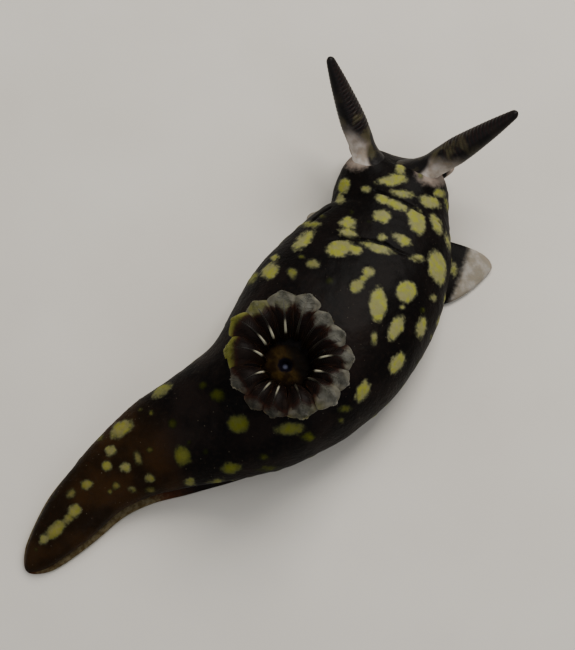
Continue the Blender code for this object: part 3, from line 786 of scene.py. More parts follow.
def raise_sheath(grid, side):
    """Swells the head round the foot of a rhinophore; also gives how pale each point is."""
    root, way, ahead = rhinophore_axis(side)
    along, distance, _ = off_axis(grid, root, way)
    near = smooth_step(*SHEATH_RADIUS[::-1], distance) * smooth_step(*SHEATH_ALONG, along)
    inward = (grid - root) @ turned(ahead, -90.0 * SIDES[side], 0.0)
    pale = near * smooth_step(*SHEATH_REAR, inward)
    return grid + way * (SHEATH_HEIGHT * near)[..., None], pale


def gill_centre():
    """The middle of the gill on the back."""
    return on_body(GILL_STATION, GILL_SIDE, columns_through(GIRTH, GILL_STATION)[1])


def gill_swell(grid):
    """How much the back swells round the gill at each point, up to 1, or dips under its pore."""
    from_gill = np.linalg.norm((grid - gill_centre())[..., :2], axis=-1)
    swell = smooth_step(*GILL_SWELL, from_gill)
    swell = swell - PORE_DIP_SHARE * smooth_step(*PORE_DIP, from_gill)
    return swell * smooth_step(*SWELL_LEVEL, grid[..., 2])


def facing_camera(grid, normals):
    """How squarely each point of the skin faces the camera, from -1 to 1."""
    return np.einsum("...k,...k", normals, unit(camera_place() - grid))


def nearest_seen(grid, normals, places):
    """Indexes of the seen skin points that show nearest to places in the photograph.

    Of points that show in the same place, the one nearest to the camera is the one that it sees.
    """
    shown = in_photo(grid).reshape(-1, 2)
    seen = (facing_camera(grid, normals) > SEEN_FACING).reshape(-1)
    behind = ((grid - camera_place()) @ camera_axes()[0]).reshape(-1)
    found = []
    for place in places:
        gap = np.linalg.norm(shown - place, axis=-1) + PIXELS_A_MM_BEHIND * behind
        found.append(np.argmin(np.where(seen, gap, np.inf)))
    return found


def distance_to_path(points, path):
    """The distance of points to a chain of straight runs."""
    nearest = np.full(points.shape[:-1], np.inf)
    for a, b in zip(path, path[1:]):
        run = b - a
        share = np.clip((points - a) @ run / (run @ run), 0.0, 1.0)
        gap = np.linalg.norm(points - a - share[..., None] * run, axis=-1)
        nearest = np.minimum(nearest, gap)
    return nearest


def crease_depth(grid, normals):
    """How deep the folds of the neck are at each point, from 0 to 1."""
    flat = grid.reshape(-1, 3)
    depth = np.zeros(grid.shape[:-1])
    for fold in NECK_FOLDS:
        path = flat[nearest_seen(grid, normals, np.array(fold, float))]
        wander = FOLD_WANDER * lumps(grid, FOLD_WANDER_SIZE)
        gap = distance_to_path(grid, path) + wander
        depth = np.maximum(depth, np.exp(-((gap / FOLD_HALF_WIDTH) ** 2)))
    return depth


def spot_in_photo(shown, grid, centre, spot):
    """How far inside one measured spot each point lies, in millimetres, as the camera sees it."""
    x, y, length, width, slant, _ = spot
    scale = PIXELS_PER_MM * SEEN_CLOSER
    turn = math.radians(slant)
    across = (shown[..., 0] - x) / scale
    up = (y - shown[..., 1]) / scale
    u = (across * math.cos(turn) + up * math.sin(turn)) / (0.5 * length)
    v = (up * math.cos(turn) - across * math.sin(turn)) / (0.5 * width)
    inside = (1.0 - np.hypot(u, v)) * 0.5 * min(length, width)
    reach = np.linalg.norm(grid - centre, axis=-1) / (SPOT_REACH * 0.5 * max(length, width))
    return np.minimum(inside, (1.0 - reach) * 0.5 * max(length, width))


def spot_on_skin(grid, normals, index, length, width, slant):
    """How far inside a spot each point lies, for a spot that is laid on the skin itself."""
    centre = grid.reshape(-1, 3)[index]
    normal = normals.reshape(-1, 3)[index]
    ahead = unit(np.cross(normal, np.cross(NEARLY_UP, normal)))
    aside = np.cross(normal, ahead)
    offset = grid - centre
    turn = math.radians(slant)
    u = offset @ (ahead * math.cos(turn) + aside * math.sin(turn)) / (0.5 * length)
    v = offset @ (aside * math.cos(turn) - ahead * math.sin(turn)) / (0.5 * width)
    w = offset @ normal / (SPOT_REACH * 0.5 * max(length, width))
    return (1.0 - np.sqrt(u * u + v * v + w * w)) * 0.5 * min(length, width)


def lay_spot(inside, tone, depth, brightness):
    """Lays one spot over those before it, wherever it reaches deeper than they do."""
    nearer = depth > inside
    inside[nearer] = depth[nearer]
    tone[nearer] = brightness**TONE_POWER


def lay_hidden_spots(inside, tone, grid, normals, station, low):
    """Lays spots on the sides that the photograph hides, drawn from a fixed seed."""
    draw = random.Random(SEED)
    facing = facing_camera(grid, normals)
    free = (facing < HIDDEN_FACING) & (normals[..., 2] > HIDDEN_UNDER)
    free &= (low < HIDDEN_LOW) & (station > HIDDEN_START)
    candidates = np.flatnonzero(free.reshape(-1))
    flat = grid.reshape(-1, 3)
    taken = []
    for _ in range(HIDDEN_TRIES):
        index = candidates[draw.randrange(len(candidates))]
        length = draw.choice(HIDDEN_SIZES) * draw.uniform(*HIDDEN_GROWTH)
        width = length * draw.uniform(*HIDDEN_WIDTH)
        slant = draw.uniform(0.0, 180.0)
        brightness = draw.uniform(*HIDDEN_BRIGHTNESS)
        brightness *= 1.0 - HIDDEN_DIMMED * smooth_step(*HIDDEN_DIMMING, station.reshape(-1)[index])
        room = HIDDEN_ROOM * length
        apart = [np.linalg.norm(flat[index] - flat[other]) - size for other, size in taken]
        if min(apart, default=1.0) < room or inside.reshape(-1)[index] > -HIDDEN_CLEAR * length:
            continue
        depth = spot_on_skin(grid, normals, index, length, width, slant)
        if np.any((depth > 0.0) & (facing > HIDDEN_FACING)):
            continue
        taken.append((index, room))
        lay_spot(inside, tone, depth, brightness)


def lay_spots(grid, normals, station, low):
    """How far inside a yellow-green spot each point lies, and how bright that spot is.

    The spots that show in the photograph stand where it shows them. The sides that it hides have
    others of like sizes.
    """
    shown = in_photo(grid)
    inside = np.full(grid.shape[:-1], -1.0)
    tone = np.zeros(grid.shape[:-1])
    centres = nearest_seen(grid, normals, np.array([spot[:2] for spot in SPOTS], float))
    for spot, index in zip(SPOTS, centres):
        depth = spot_in_photo(shown, grid, grid.reshape(-1, 3)[index], spot)
        lay_spot(inside, tone, depth, spot[-1])
    lay_hidden_spots(inside, tone, grid, normals, station, low)
    return inside, tone


def carry(mesh, key, values):
    """Stores one value for each point of a mesh."""
    stored = mesh.attributes.new(key, "FLOAT", "POINT")
    stored.data.foreach_set("value", np.asarray(values, np.float32))


def mesh_from_grid(name, grid, attributes):
    """A closed mesh from a grid of rings, in millimetres, whose first and last ring are capped."""
    rings, sides = grid.shape[:2]
    ids = np.arange(rings * sides).reshape(rings, sides)
    turned_ids = np.roll(ids, -1, 1)
    quads = np.stack((ids[:-1], turned_ids[:-1], turned_ids[1:], ids[1:]), -1).reshape(-1, 4)
    first, last = rings * sides, rings * sides + 1
    caps = [(first, b, a) for a, b in zip(ids[0], turned_ids[0])]
    caps += [(last, a, b) for a, b in zip(ids[-1], turned_ids[-1])]
    points = np.vstack((grid.reshape(-1, 3), grid[0].mean(0), grid[-1].mean(0))) * MM
    mesh = bpy.data.meshes.new(name)
    mesh.from_pydata(points.tolist(), [], quads.tolist() + caps)
    for key, values in attributes.items():
        carry(mesh, key, np.concatenate((values.reshape(-1), (values[0].mean(), values[-1].mean()))))
    bm = bmesh.new()
    bm.from_mesh(mesh)
    bmesh.ops.recalc_face_normals(bm, faces=bm.faces)
    bm.to_mesh(mesh)
    bm.free()
    mesh.shade_smooth()
    return mesh


def placed(name, data):
    """A new object in the scene, at the origin."""
    made = bpy.data.objects.new(name, data)
    bpy.context.scene.collection.objects.link(made)
    return made


def add_piece(name, mesh, material):
    """A finished piece at the origin, with its material."""
    mesh.materials.append(material)
    return placed(name, mesh)


def make_skin(material):
    """The skin of the head, body, foot and short feelers, in one piece."""
    grid, station, inside_foot, low, lobe = bare_body()
    grid, mouth = shape_mouth(grid)
    sheaths = np.zeros(grid.shape[:-1])
    feelers = np.zeros(grid.shape[:-1])
    for side in SIDES:
        grid, tip = draw_out_feeler(grid, side)
        feelers = np.maximum(feelers, tip)
        grid, near = raise_sheath(grid, side)
        sheaths = np.maximum(sheaths, np.maximum(near, tip))
    normals = grid_normals(grid)
    above = 1.0 - low
    rise = SWELL_HEIGHT * gill_swell(grid)
    rise += above * (HILL_HEIGHT * lumps(grid, HILL_SIZE) + WRINKLE_HEIGHT * lumps(grid, WRINKLE_SIZE))
    grid = grid + normals * rise[..., None]
    folds = crease_depth(grid, normals) * above
    inside, tone = lay_spots(grid, normals, station, low)
    inside -= feelers
    rise = SPOT_HEIGHT * smooth_step(*SPOT_EDGE, inside) - FOLD_DEPTH * folds
    grid = grid + normals * rise[..., None]
    grid[..., 2] = np.maximum(grid[..., 2], 0.0)
    margin = low * smooth_step(MARGIN_WIDTH, MARGIN_FULL * MARGIN_WIDTH, inside_foot)
    attributes = {
        "spot": inside,
        "tone": tone,
        "tailward": smooth_step(*TAIL_TURN, station),
        "headward": smooth_step(*HEAD_BLACK, station),
        "margin": margin * value_through(MARGIN_STRENGTH, station),
        "lobe": lobe,
        "sheath": sheaths,
        # The folds of the neck and the line of the mouth, which the skin's material darkens as painted
        # shade.
        "fold": np.maximum(folds, mouth),
    }
    return add_piece("skin", mesh_from_grid("skin", grid, attributes), material)


def lamella_grooves(share, rearness):
    """How deep the grooves between a rhinophore's lamellae are at each point, from 0 to 1."""
    club = smooth_step(*LAMELLAE_RISING, share) * smooth_step(*LAMELLAE_FADING, share)
    phase = (share - LAMELLAE_START) / (LAMELLAE_END - LAMELLAE_START) * LAMELLAE
    phase = phase + LAMELLA_SLANT * rearness
    groove = np.exp(-(((phase % 1.0 - 0.5) / GROOVE_SHARE) ** 2)) * club
    return groove * (1.0 - np.exp(-(((1.0 - rearness) / REAR_RIB) ** 2)))


def make_rhinophore(side, material):
    """One rhinophore: a broad pale stalk that runs up into a long black club with close lamellae."""
    root, way, ahead = rhinophore_axis(side)
    front = unit(ahead - (ahead @ way) * way)
    top = np.cross(front, way)
    top = top * np.sign(top @ UP)
    lift = unit(np.cross(np.cross(way, UP), way))
    share = tipped_shares(RHINO_SUNK, RHINO_TIP, RHINO_RINGS)[:, None]
    turn = full_turn(RHINO_SIDES)[None, :]
    rearness = 0.5 - 0.5 * spread(np.cos(turn), share)
    groove = lamella_grooves(share, rearness)
    radius = value_through(RHINO_RADII, share) * (1.0 - LAMELLA_DEPTH * groove)
    rounding = np.clip((share - RHINO_TIP) / (1.0 - RHINO_TIP), 0.0, 1.0)
    radius = radius * np.sqrt(1.0 - rounding**2)
    flatness = 1.0 + (RHINO_FLATNESS - 1.0) * smooth_step(*RHINO_FLATTENING, share)
    centre = root + way * (RHINO_LENGTH[side] * share) + lift * (RHINO_BEND * share * abs(share))
    centre = centre - front * (STALK_REAR * smooth_step(*STALK_REAR_FADE, share))
    grid = centre[:, None, :] + front * (radius * np.cos(turn))[..., None]
    grid = grid + top * (radius * flatness * np.sin(turn))[..., None]
    flare = smooth_step(*FLARE_ALONG, share) * smooth_step(*FLARE_REAR, rearness)
    attributes = {
        "along": spread(share, rearness),
        "stalk": value_through(STALK_EDGE, rearness) - FLARE_DARK * flare - share,
        "groove": groove,
        "rear": rearness,
    }
    name = "rhinophore_" + side
    return add_piece(name, mesh_from_grid(name, grid, attributes), material)


def bezier(points, t):
    """Points at t of the cubic Bezier with four control points, and the way it runs there."""
    a, b, c, d = np.array(points)
    t = np.asarray(t)[..., None]
    u = 1.0 - t
    place = u**3 * a + 3 * u * u * t * b + 3 * u * t * t * c + t**3 * d
    return place, 3 * (u * u * (b - a) + 2 * u * t * (c - b) + t * t * (d - c))


def plume_set():
    """Every plume: bearing, reach, rise, half its room on either side in radians, and its traits."""
    draw = random.Random(SEED)
    bearings = np.radians([row[0] for row in PLUMES])
    after = 0.5 * ((np.roll(bearings, -1) - bearings) % (2.0 * math.pi))
    plumes = []
    for row, bearing, rooms in zip(PLUMES, bearings, zip(after, np.roll(after, 1))):
        traits = dict(zip(PLUME_TRAITS, row[2:]))
        plumes.append((bearing, row[1], draw.uniform(*PLUME_RISE), rooms, traits))
    return plumes


def plume_frames(plume, shares):
    """The midline of a plume with its side and its inner face at each share, and its half widths."""
    bearing, reach, rise, rooms, _ = plume
    out = np.array((math.cos(bearing), math.sin(bearing), 0.0))
    place, run = bezier(PLUME_PATH, shares)
    middle = gill_centre() + out * (place[:, :1] * reach) + UP * (place[:, 1:] * rise)
    way = unit(out * (run[:, :1] * reach) + UP * (run[:, 1:] * rise))
    side = np.cross(UP, out)
    tip = np.clip((shares - PLUME_TIP) / (1.0 - PLUME_TIP), 0.0, 1.0)
    outline = value_through(PLUME_FULLNESS, shares) * np.sqrt(1.0 - tip**TIP_BLUNT)
    halves = [room * reach * place[:, 0] * outline for room in rooms]
    return middle, side, np.cross(way, side), halves


def outward_share(points):
    """How far from the gill's middle points lie, as a share of the reach of the plumes' path."""
    return np.linalg.norm((points - gill_centre())[..., :2], axis=-1) / PLUME_PATH[-1][0]


def traits_at(plume, like):
    """A plume's traits at every point that like has one for."""
    return {key: spread(value, like) for key, value in plume[-1].items()}


def joined_mesh(name, meshes):
    """One mesh of several, which are then removed."""
    bm = bmesh.new()
    for mesh in meshes:
        bm.from_mesh(mesh)
        bpy.data.meshes.remove(mesh)
    joined = bpy.data.meshes.new(name)
    bm.to_mesh(joined)
    bm.free()
    joined.shade_smooth()
    return joined


def plume_piece(name, material, shares, form):
    """One piece of all plumes; form makes a plume's grid, and what it carries, from its frames."""
    meshes = []
    for plume in plume_set():
        grid, carried = form(*plume_frames(plume, shares))
        carried |= {"outward": outward_share(grid)} | traits_at(plume, grid[..., 0])
        meshes.append(mesh_from_grid("plume", grid, carried))
    return add_piece(name, joined_mesh(name, meshes), material)


def plume_blades(material):
    """The thin blades that carry the leaflets, bent back along both edges."""
    turn = full_turn(2 * BLADE_ACROSS)
    across = np.cos(turn)[None, :]

    def blade(middle, side, face, halves):
        after, before = (half[:, None] for half in halves)
        half = np.where(across > 0.0, after, before) * BLADE_SHARE
        level = 0.5 * BLADE_THICK * np.sin(turn) - BLADE_TROUGH * half * across**2 - BLADE_BEHIND
        grid = middle[:, None] + side * (half * across)[..., None] + face[:, None] * level[..., None]
        return grid, {"leaf_tip": spread(abs(across), half)}

    return plume_piece("gill_blades", material, tipped_shares(0.0, PLUME_TIP, BLADE_RINGS), blade)


def plume_rachises(material):
    """The shining midribs of the plumes."""
    turn = full_turn(RACHIS_SIDES)
    shares = np.linspace(0.0, RACHIS_END, BLADE_RINGS)
    thick, thin = RACHIS_RADIUS
    radius = (thick + (thin - thick) * shares**RACHIS_TAPER)[:, None]

    def rachis(middle, side, face, _):
        middle = middle + face * RACHIS_PROUD
        grid = middle[:, None] + side * (radius * np.cos(turn))[..., None]
        grid = grid + face[:, None] * (radius * np.sin(turn))[..., None]
        return grid, {"reach": spread(shares[:, None], turn)}

    return plume_piece("gill_rachises", material, shares, rachis)


def leaf_mesh():
    """One leaflet, one unit long and wide, which thins to a round tip and bends up."""
    share = np.linspace(0.0, 1.0, LEAFLET_RINGS)[:, None]
    turn = full_turn(LEAFLET_CORNERS)[None, :]
    half = 0.5 * np.sqrt(np.clip(1.0 - share**LEAFLET_BLUNT, 0.0, 1.0))
    half = half * (LEAFLET_ROOT + LEAFLET_WIDENING * share) + LEAFLET_EDGE
    across = np.cos(turn) * half
    along = spread(share, across)
    level = LEAFLET_THICK * np.sin(turn) * (1.0 - LEAFLET_THINNING * share) + LEAFLET_BEND * share**2
    return mesh_from_grid("leaflet", np.stack((along, across, level), -1) / MM, {"leaf_tip": along})


def rachis_paths():
    """The midlines of all plumes as chains of edges that carry what the leaflets need."""
    shares = np.linspace(*RACHIS_POINTS)
    turns = np.radians(value_through(LEAFLET_TURN, shares))
    lengths = value_through(LEAFLET_SHARE, shares) * MM
    points, faces, carried = [], [], []
    for plume in plume_set():
        middle, _, face, (after, before) = plume_frames(plume, shares)
        points.append(middle * MM)
        faces.append(face)
        rows = {"leaf_turn": turns, "length_after": after * lengths, "length_before": before * lengths}
        carried.append(rows | traits_at(plume, shares))
    ids = np.arange(len(points) * len(shares)).reshape(len(points), -1)
    edges = np.stack((ids[:, :-1], ids[:, 1:]), -1).reshape(-1, 2)
    mesh = bpy.data.meshes.new("rachis_paths")
    mesh.from_pydata(np.vstack(points).tolist(), edges.tolist(), [])
    for key in carried[0]:
        carry(mesh, key, np.concatenate([rows[key] for rows in carried]))
    stored = mesh.attributes.new("leaf_face", "FLOAT_VECTOR", "POINT")
    stored.data.foreach_set("vector", np.concatenate(faces).reshape(-1))
    return mesh


def add_node(tree, kind, inputs=(), **settings):
    """Adds a node, sets it up and fills its inputs with values or with other nodes' outputs."""
    made = tree.nodes.new(kind)
    for name, value in settings.items():
        setattr(made, name, value)
    for name, value in dict(inputs).items():
        if isinstance(value, bpy.types.Node):
            value = value.outputs[0]
        if isinstance(value, bpy.types.NodeSocket):
            tree.links.new(value, made.inputs[name])
        else:
            made.inputs[name].default_value = value
    return made


def leaflet_inputs(leaf, material):
    """The named inputs of the leaflets' tree after its rachises, with the kind and value of each."""
    return (
        ("Leaflet", "Object", leaf),
        ("Leaflets a side", "Int", LEAFLETS),
        ("Leaflet width", "Float", LEAFLET_WIDTH * MM),
        ("Least size", "Float", LEAFLET_SIZES[0]),
        ("Greatest size", "Float", LEAFLET_SIZES[1]),
        ("Seed", "Int", SEED),
        ("Finish", "Material", material),
    )


def leaflet_row(tree, given, spaced, number):
    """One row of leaflets, which stand out to one side of every rachis and lean towards its tip."""
    sign, length_name = LEAFLET_ROWS[number]
    carried = (("leaf_face", "FLOAT_VECTOR"), ("leaf_turn", "FLOAT"), (length_name, "FLOAT"))
    face, turn, length = (
        add_node(tree, "GeometryNodeInputNamedAttribute", {"Name": name}, data_type=kind)
        for name, kind in carried
    )
    aside = add_node(tree, VECTOR_MATHS, {0: spaced["Tangent"], 1: face}, operation="CROSS_PRODUCT")
    cosine = add_node(tree, MATHS, {0: turn}, operation="COSINE")
    signed = add_node(tree, MATHS, {0: cosine, 1: sign}, operation="MULTIPLY")
    outward = add_node(tree, VECTOR_MATHS, {0: aside, "Scale": signed}, operation="SCALE")
    sine = add_node(tree, MATHS, {0: turn}, operation="SINE")
    onward = add_node(tree, VECTOR_MATHS, {0: spaced["Tangent"], "Scale": sine}, operation="SCALE")
    way = add_node(tree, VECTOR_MATHS, {0: outward, 1: onward}, operation="ADD")
    rotation = add_node(
        tree,
        "FunctionNodeAxesToRotation",
        {"Primary Axis": way, "Secondary Axis": face},
        primary_axis="X",
        secondary_axis="Z",
    )
    seed = add_node(tree, MATHS, {0: given["Seed"], 1: float(number)}, operation="ADD")
    sizes = {2: given["Least size"], 3: given["Greatest size"], "Seed": seed}
    size = add_node(tree, "FunctionNodeRandomValue", sizes, data_type="FLOAT").outputs[1]
    long = add_node(tree, MATHS, {0: length, 1: size}, operation="MULTIPLY")
    scale = add_node(tree, "ShaderNodeCombineXYZ", {0: long, 1: given["Leaflet width"], 2: long})
    leaf = add_node(tree, "GeometryNodeObjectInfo", {"Object": given["Leaflet"]})
    return add_node(
        tree,
        "GeometryNodeInstanceOnPoints",
        {
            "Points": spaced["Points"],
            "Instance": leaf.outputs["Geometry"],
            "Rotation": rotation,
            "Scale": scale,
        },
    )


def leaflet_tree(inputs):
    """Geometry Nodes that set a row of leaflets along both sides of every rachis."""
    tree = bpy.data.node_groups.new("plume_leaflets", "GeometryNodeTree")
    for name, kind, _ in (("Rachises", "Geometry", None), *inputs):
        tree.interface.new_socket(name, in_out="INPUT", socket_type="NodeSocket" + kind)
    tree.interface.new_socket("Leaflets", in_out="OUTPUT", socket_type="NodeSocketGeometry")
    given = add_node(tree, "NodeGroupInput").outputs
    curve = add_node(tree, "GeometryNodeMeshToCurve", {"Mesh": given["Rachises"]})
    wanted = {"Curve": curve, "Count": given["Leaflets a side"]}
    spaced = add_node(tree, "GeometryNodeCurveToPoints", wanted, mode="COUNT").outputs
    both = add_node(tree, "GeometryNodeJoinGeometry")
    for number in range(len(LEAFLET_ROWS)):
        row = leaflet_row(tree, given, spaced, number)
        tree.links.new(row.outputs[0], both.inputs[0])
    real = add_node(tree, "GeometryNodeRealizeInstances", {0: both})
    finished = add_node(tree, "GeometryNodeSetMaterial", {"Geometry": real, "Material": given["Finish"]})
    add_node(tree, "NodeGroupOutput", {0: finished})
    return tree


def plume_leaflets(material):
    """The leaflets of all plumes as one plain mesh."""
    leaf = placed("leaflet", leaf_mesh())
    carrier = placed("gill_leaflets", rachis_paths())
    inputs = leaflet_inputs(leaf, material)
    tree = leaflet_tree(inputs)
    grow = carrier.modifiers.new("leaflets", "NODES")
    grow.node_group = tree
    for name, _, value in inputs:
        grow[tree.interface.items_tree[name].identifier] = value
    shown = carrier.evaluated_get(bpy.context.evaluated_depsgraph_get())
    grown = bpy.data.meshes.new_from_object(shown)
    carrier.modifiers.clear()
    bare = carrier.data
    carrier.data = grown
    grown.shade_smooth()
    points = np.empty(3 * len(grown.vertices))
    grown.vertices.foreach_get("co", points)
    carry(grown, "outward", outward_share(points.reshape(-1, 3) / MM))
    bpy.data.meshes.remove(bare)
    bpy.data.objects.remove(leaf)
    bpy.data.node_groups.remove(tree)
    return carrier


def make_papilla(material):
    """The floor of the gill's cup, folded towards each plume, with the anal papilla in its middle."""
    turn = full_turn(DISC_SIDES)[None, :]
    knots = np.column_stack((np.linspace(0.0, 1.0, len(DISC_PROFILE)), DISC_PROFILE))
    radius, level = columns_through(knots, np.linspace(0.0, 1.0, DISC_RINGS)[1:, None])
    fold = DISC_FOLD * np.cos(len(PLUMES) * turn) * smooth_step(*DISC_FOLDED, radius)
    grid = gill_centre() + np.stack((radius * np.cos(turn), radius * np.sin(turn), level + fold), -1)
    grid[..., :2] += np.array(DISC_ASIDE) * smooth_step(*DISC_MOVED, radius)[..., None]
    # Painted shade on the side of the floor that the plumes nearest the light shade: how far each point lies
    # towards that side.
    across = radius * np.cos(turn - math.radians(DISC_SHADE_BEARING))
    attributes = {
        "from_middle": spread(radius, turn),
        "shaded_side": smooth_step(*DISC_SHADE_FROM, across),
    }
    name = "anal_papilla_cone"
    return add_piece(name, mesh_from_grid(name, grid, attributes), material)


def srgb(code):
    """A linear colour from an sRGB hex value."""
    channels = [int(code[i : i + 2], 16) / 255 for i in (0, 2, 4)]
    return (*(c / 12.92 if c <= 0.04045 else ((c + 0.055) / 1.055) ** 2.4 for c in channels), 1.0)


def per_mm(size):
    """The scale of a pattern whose cells are size millimetres across."""
    return 1.0 / (size * MM)


def wet_flesh(roughness, gloss, clear, radii, depth, film=(0.0, 0.03), ior=1.38):
    """The shader's constants for living flesh under its film of mucus.

    Clear is how much of the light goes into the flesh, radii how far its red, green and blue go
    there beside each other, depth how far that is in millimetres, and film the weight and the
    roughness of the mucus.
    """
    return {
        "Roughness": roughness,
        "IOR": ior,
        "Specular IOR Level": gloss,
        "Subsurface Weight": clear,
        "Subsurface Radius": radii,
        "Subsurface Scale": depth * MM,
        "Coat Weight": film[0],
        "Coat Roughness": film[1],
    }


def new_material(name, settings, sizes, carried=()):
    """A material with its shader's constants set and the patterns that its colours are made from.

    Returns the material, its tree and its shader, then soft clouds from 0 to 1, one for each size
    of their hills in millimetres, and the values that the mesh carries.
    """
    made = bpy.data.materials.new(name)
    made.use_nodes = True
    tree = made.node_tree
    shader = tree.nodes["Principled BSDF"]
    for socket, value in settings.items():
        shader.inputs[socket].default_value = value
    place = add_node(tree, "ShaderNodeTexCoord").outputs["Object"]
    clouds = []
    for size in sizes:
        inputs = {"Vector": place, "Scale": per_mm(size), "Detail": CLOUD_DETAIL}
        clouds.append(add_node(tree, "ShaderNodeTexNoise", inputs))
    values = []
    for key in carried:
        values.append(add_node(tree, "ShaderNodeAttribute", attribute_name=key).outputs["Fac"])
    return made, tree, shader, clouds, values


def ragged(tree, value, cloud, amount):
    """A value that a cloud swings up and down by half of amount, so that its edges turn ragged."""
    lowered = add_node(tree, MATHS, {0: value, 1: 0.5 * amount}, operation="SUBTRACT")
    return add_node(tree, MATHS, {0: cloud, 1: amount, 2: lowered}, operation="MULTIPLY_ADD")


def rising(tree, value, low, high, most=1.0, also=1.0):
    """How much of a pigment there is where a value rises from low to high, times also."""
    settings = {"Value": value, "From Min": low, "From Max": high, "To Max": most}
    share = add_node(tree, "ShaderNodeMapRange", settings, interpolation_type="SMOOTHSTEP")
    return add_node(tree, MATHS, {0: share, 1: also}, operation="MULTIPLY").outputs[0]


def laid_over(tree, under, over, value, low=0.0, high=1.0, most=1.0, also=1.0):
    """One colour over another, as thickly as rising says. A plain colour is an sRGB hex value."""
    share = rising(tree, value, low, high, most, also)
    under, over = (srgb(colour) if isinstance(colour, str) else colour for colour in (under, over))
    return add_node(tree, "ShaderNodeMix", {0: share, 6: under, 7: over}, data_type="RGBA").outputs[2]


def painted(tree, colour, *layers):
    """A colour with layers over it in turn: each one's colour, the value that it follows, where it
    starts and is full, how much it covers there and what else thins it, as laid_over takes them.
    """
    for layer in layers:
        colour = laid_over(tree, colour, *layer)
    return colour


def finish_surface(tree, shader, colour, relief, depth):
    """Gives the shader its colour, and a relief that is depth millimetres deep."""
    tree.links.new(colour, shader.inputs["Base Color"])
    made = add_node(tree, "ShaderNodeBump", {"Height": relief, "Distance": depth * MM})
    tree.links.new(made.outputs[0], shader.inputs["Normal"])


def speckles(tree, spacing, dot, share):
    """Rare small dots, some of them brighter, on a lattice that is spacing millimetres apart."""
    place = add_node(tree, "ShaderNodeTexCoord").outputs["Object"]
    settings = {"Vector": place, "Scale": per_mm(spacing)}
    cells = add_node(tree, "ShaderNodeTexVoronoi", settings)
    near = rising(tree, cells.outputs["Distance"], dot, 0.5 * dot)
    return rising(tree, cells.outputs["Color"], 1.0 - share, 1.0 - 0.7 * share, 1.0, near)


def spot_pigment(tree, inside, tone, tailward, warped, blotchy):
    """The colour of the spots: yellow-green grains where they are bright, dark green where they are dim,
    which is partly painted shade.
    """
    grains = laid_over(tree, "7d7c4e", "888a33", warped, 0.42, 0.60)
    grains = laid_over(tree, "55563e", grains, inside, 0.0, 0.10)
    grains = laid_over(tree, grains, "83805c", blotchy, 0.45, 0.65, 0.5)
    dim_green = laid_over(tree, "50540f", "665d2c", tailward)
    dim_green = laid_over(tree, "171a06", dim_green, inside, -0.04, 0.22)
    # A low tone, partly painted shade, turns a spot to dark green and then near black.
    pigment = laid_over(tree, dim_green, grains, tone, 0.25, 0.80)
    return laid_over(tree, "0d1003", pigment, tone, -0.05, 0.35)


def skin_material():
    """The wet living skin of a sea slug, soft and full of pigment under a film of mucus.

    Pigment gives a velvety black that is chocolate in the light and brown on the thin tail, the
    spots are grains of yellow-green pigment that thin out to grey, or to a dark green where they are
    dim, which is partly painted shade, and the film gives soft gloss. The folds of the neck and the
    line of the mouth are darkened as painted shade.
    """
    made, tree, shader, clouds, values = new_material(
        "wet_black_slug_skin",
        wet_flesh(0.50, gloss=0.055, clear=0.12, radii=(1.0, 0.5, 0.3), depth=0.12, film=(0.02, 0.25)),
        (1.6, 0.40, 0.15, 0.16, 0.055),
        ("spot", "tone", "tailward", "headward", "margin", "lobe", "sheath", "fold"),
    )
    broad, warped, blotchy, grainy, fine = clouds
    spot, tone, tailward, headward, margin, lobe, sheath, fold = values
    broad = rising(tree, broad, 0.35, 0.70)
    black = laid_over(tree, "080606", "16100e", broad)
    brown = laid_over(tree, "160d04", "291908", broad)
    edge = ragged(tree, margin, blotchy, 0.5)
    thin = laid_over(tree, "43381f", "645b42", blotchy, 0.30, 0.70)
    clear = laid_over(tree, "a39d94", "8b8375", warped, 0.40, 0.65)
    inside = ragged(tree, ragged(tree, spot, warped, 0.20), blotchy, 0.12)
    inside = ragged(tree, inside, fine, 0.04)
    colour = painted(
        tree,
        black,
        (brown, tailward),
        ("241b15", grainy, 0.45, 0.75, 0.25),
        ("5c5548", speckles(tree, 0.11, 0.20, 0.22), 0.0, 1.0, 0.7),
        ("050303", headward, 0.0, 1.0, 0.6),
        ("4a2614", edge, 0.05, 0.35, 0.7, tailward),
        (thin, edge, 0.35, 0.75, 0.9),
        (clear, ragged(tree, lobe, blotchy, 0.4), 0.25, 0.85, 0.9),
        ("93857a", ragged(tree, sheath, blotchy, 0.5), 0.25, 0.90, 0.9),
        (spot_pigment(tree, inside, tone, tailward, warped, blotchy), inside, -0.05, 0.06, 0.96),
        # Painted shade: the folds of the neck and the line of the mouth are darkened to near black.
        ("050404", fold, 0.0, 1.0, 0.85),
    )
    finish_surface(tree, shader, colour, ragged(tree, grainy, fine, 0.4), 0.03)
    return made


def rhinophore_material():
    """The flesh of a rhinophore, thin and clear at its stalk and packed with black pigment above.

    The clear stalk lets light through and looks grey-pink. The club is near black, with olive
    where the pigment is thin and a dark red in the grooves between its lamellae.
    """
    made, tree, shader, (broad, patchy, fine), (along, stalk, groove, rear) = new_material(
        "clear_and_black_feeler_flesh",
        wet_flesh(0.46, gloss=0.18, clear=0.4, radii=(1.0, 0.7, 0.5), depth=0.25, film=(0.05, 0.25)),
        (0.5, 0.30, 0.07),
        ("along", "stalk", "groove", "rear"),
    )
    thin = rising(tree, broad, 0.48, 0.66, 0.5, rising(tree, along, 0.75, 0.30))
    flesh = painted(
        tree,
        "c8beb5",
        ("9a8d80", broad, 0.35, 0.65),
        ("6d6056", stalk, 0.05, -0.10, 0.6),
    )
    colour = painted(
        tree,
        "0b0808",
        ("17110e", broad, 0.4, 0.7),
        ("1c0a0a", groove, 0.0, 1.0, 0.7),
        ("4f4a30", rear, 0.1, 0.5, 1.0, thin),
        (flesh, ragged(tree, stalk, patchy, 0.12), -0.14, 0.20),
    )
    finish_surface(tree, shader, colour, fine, 0.015)
    return made


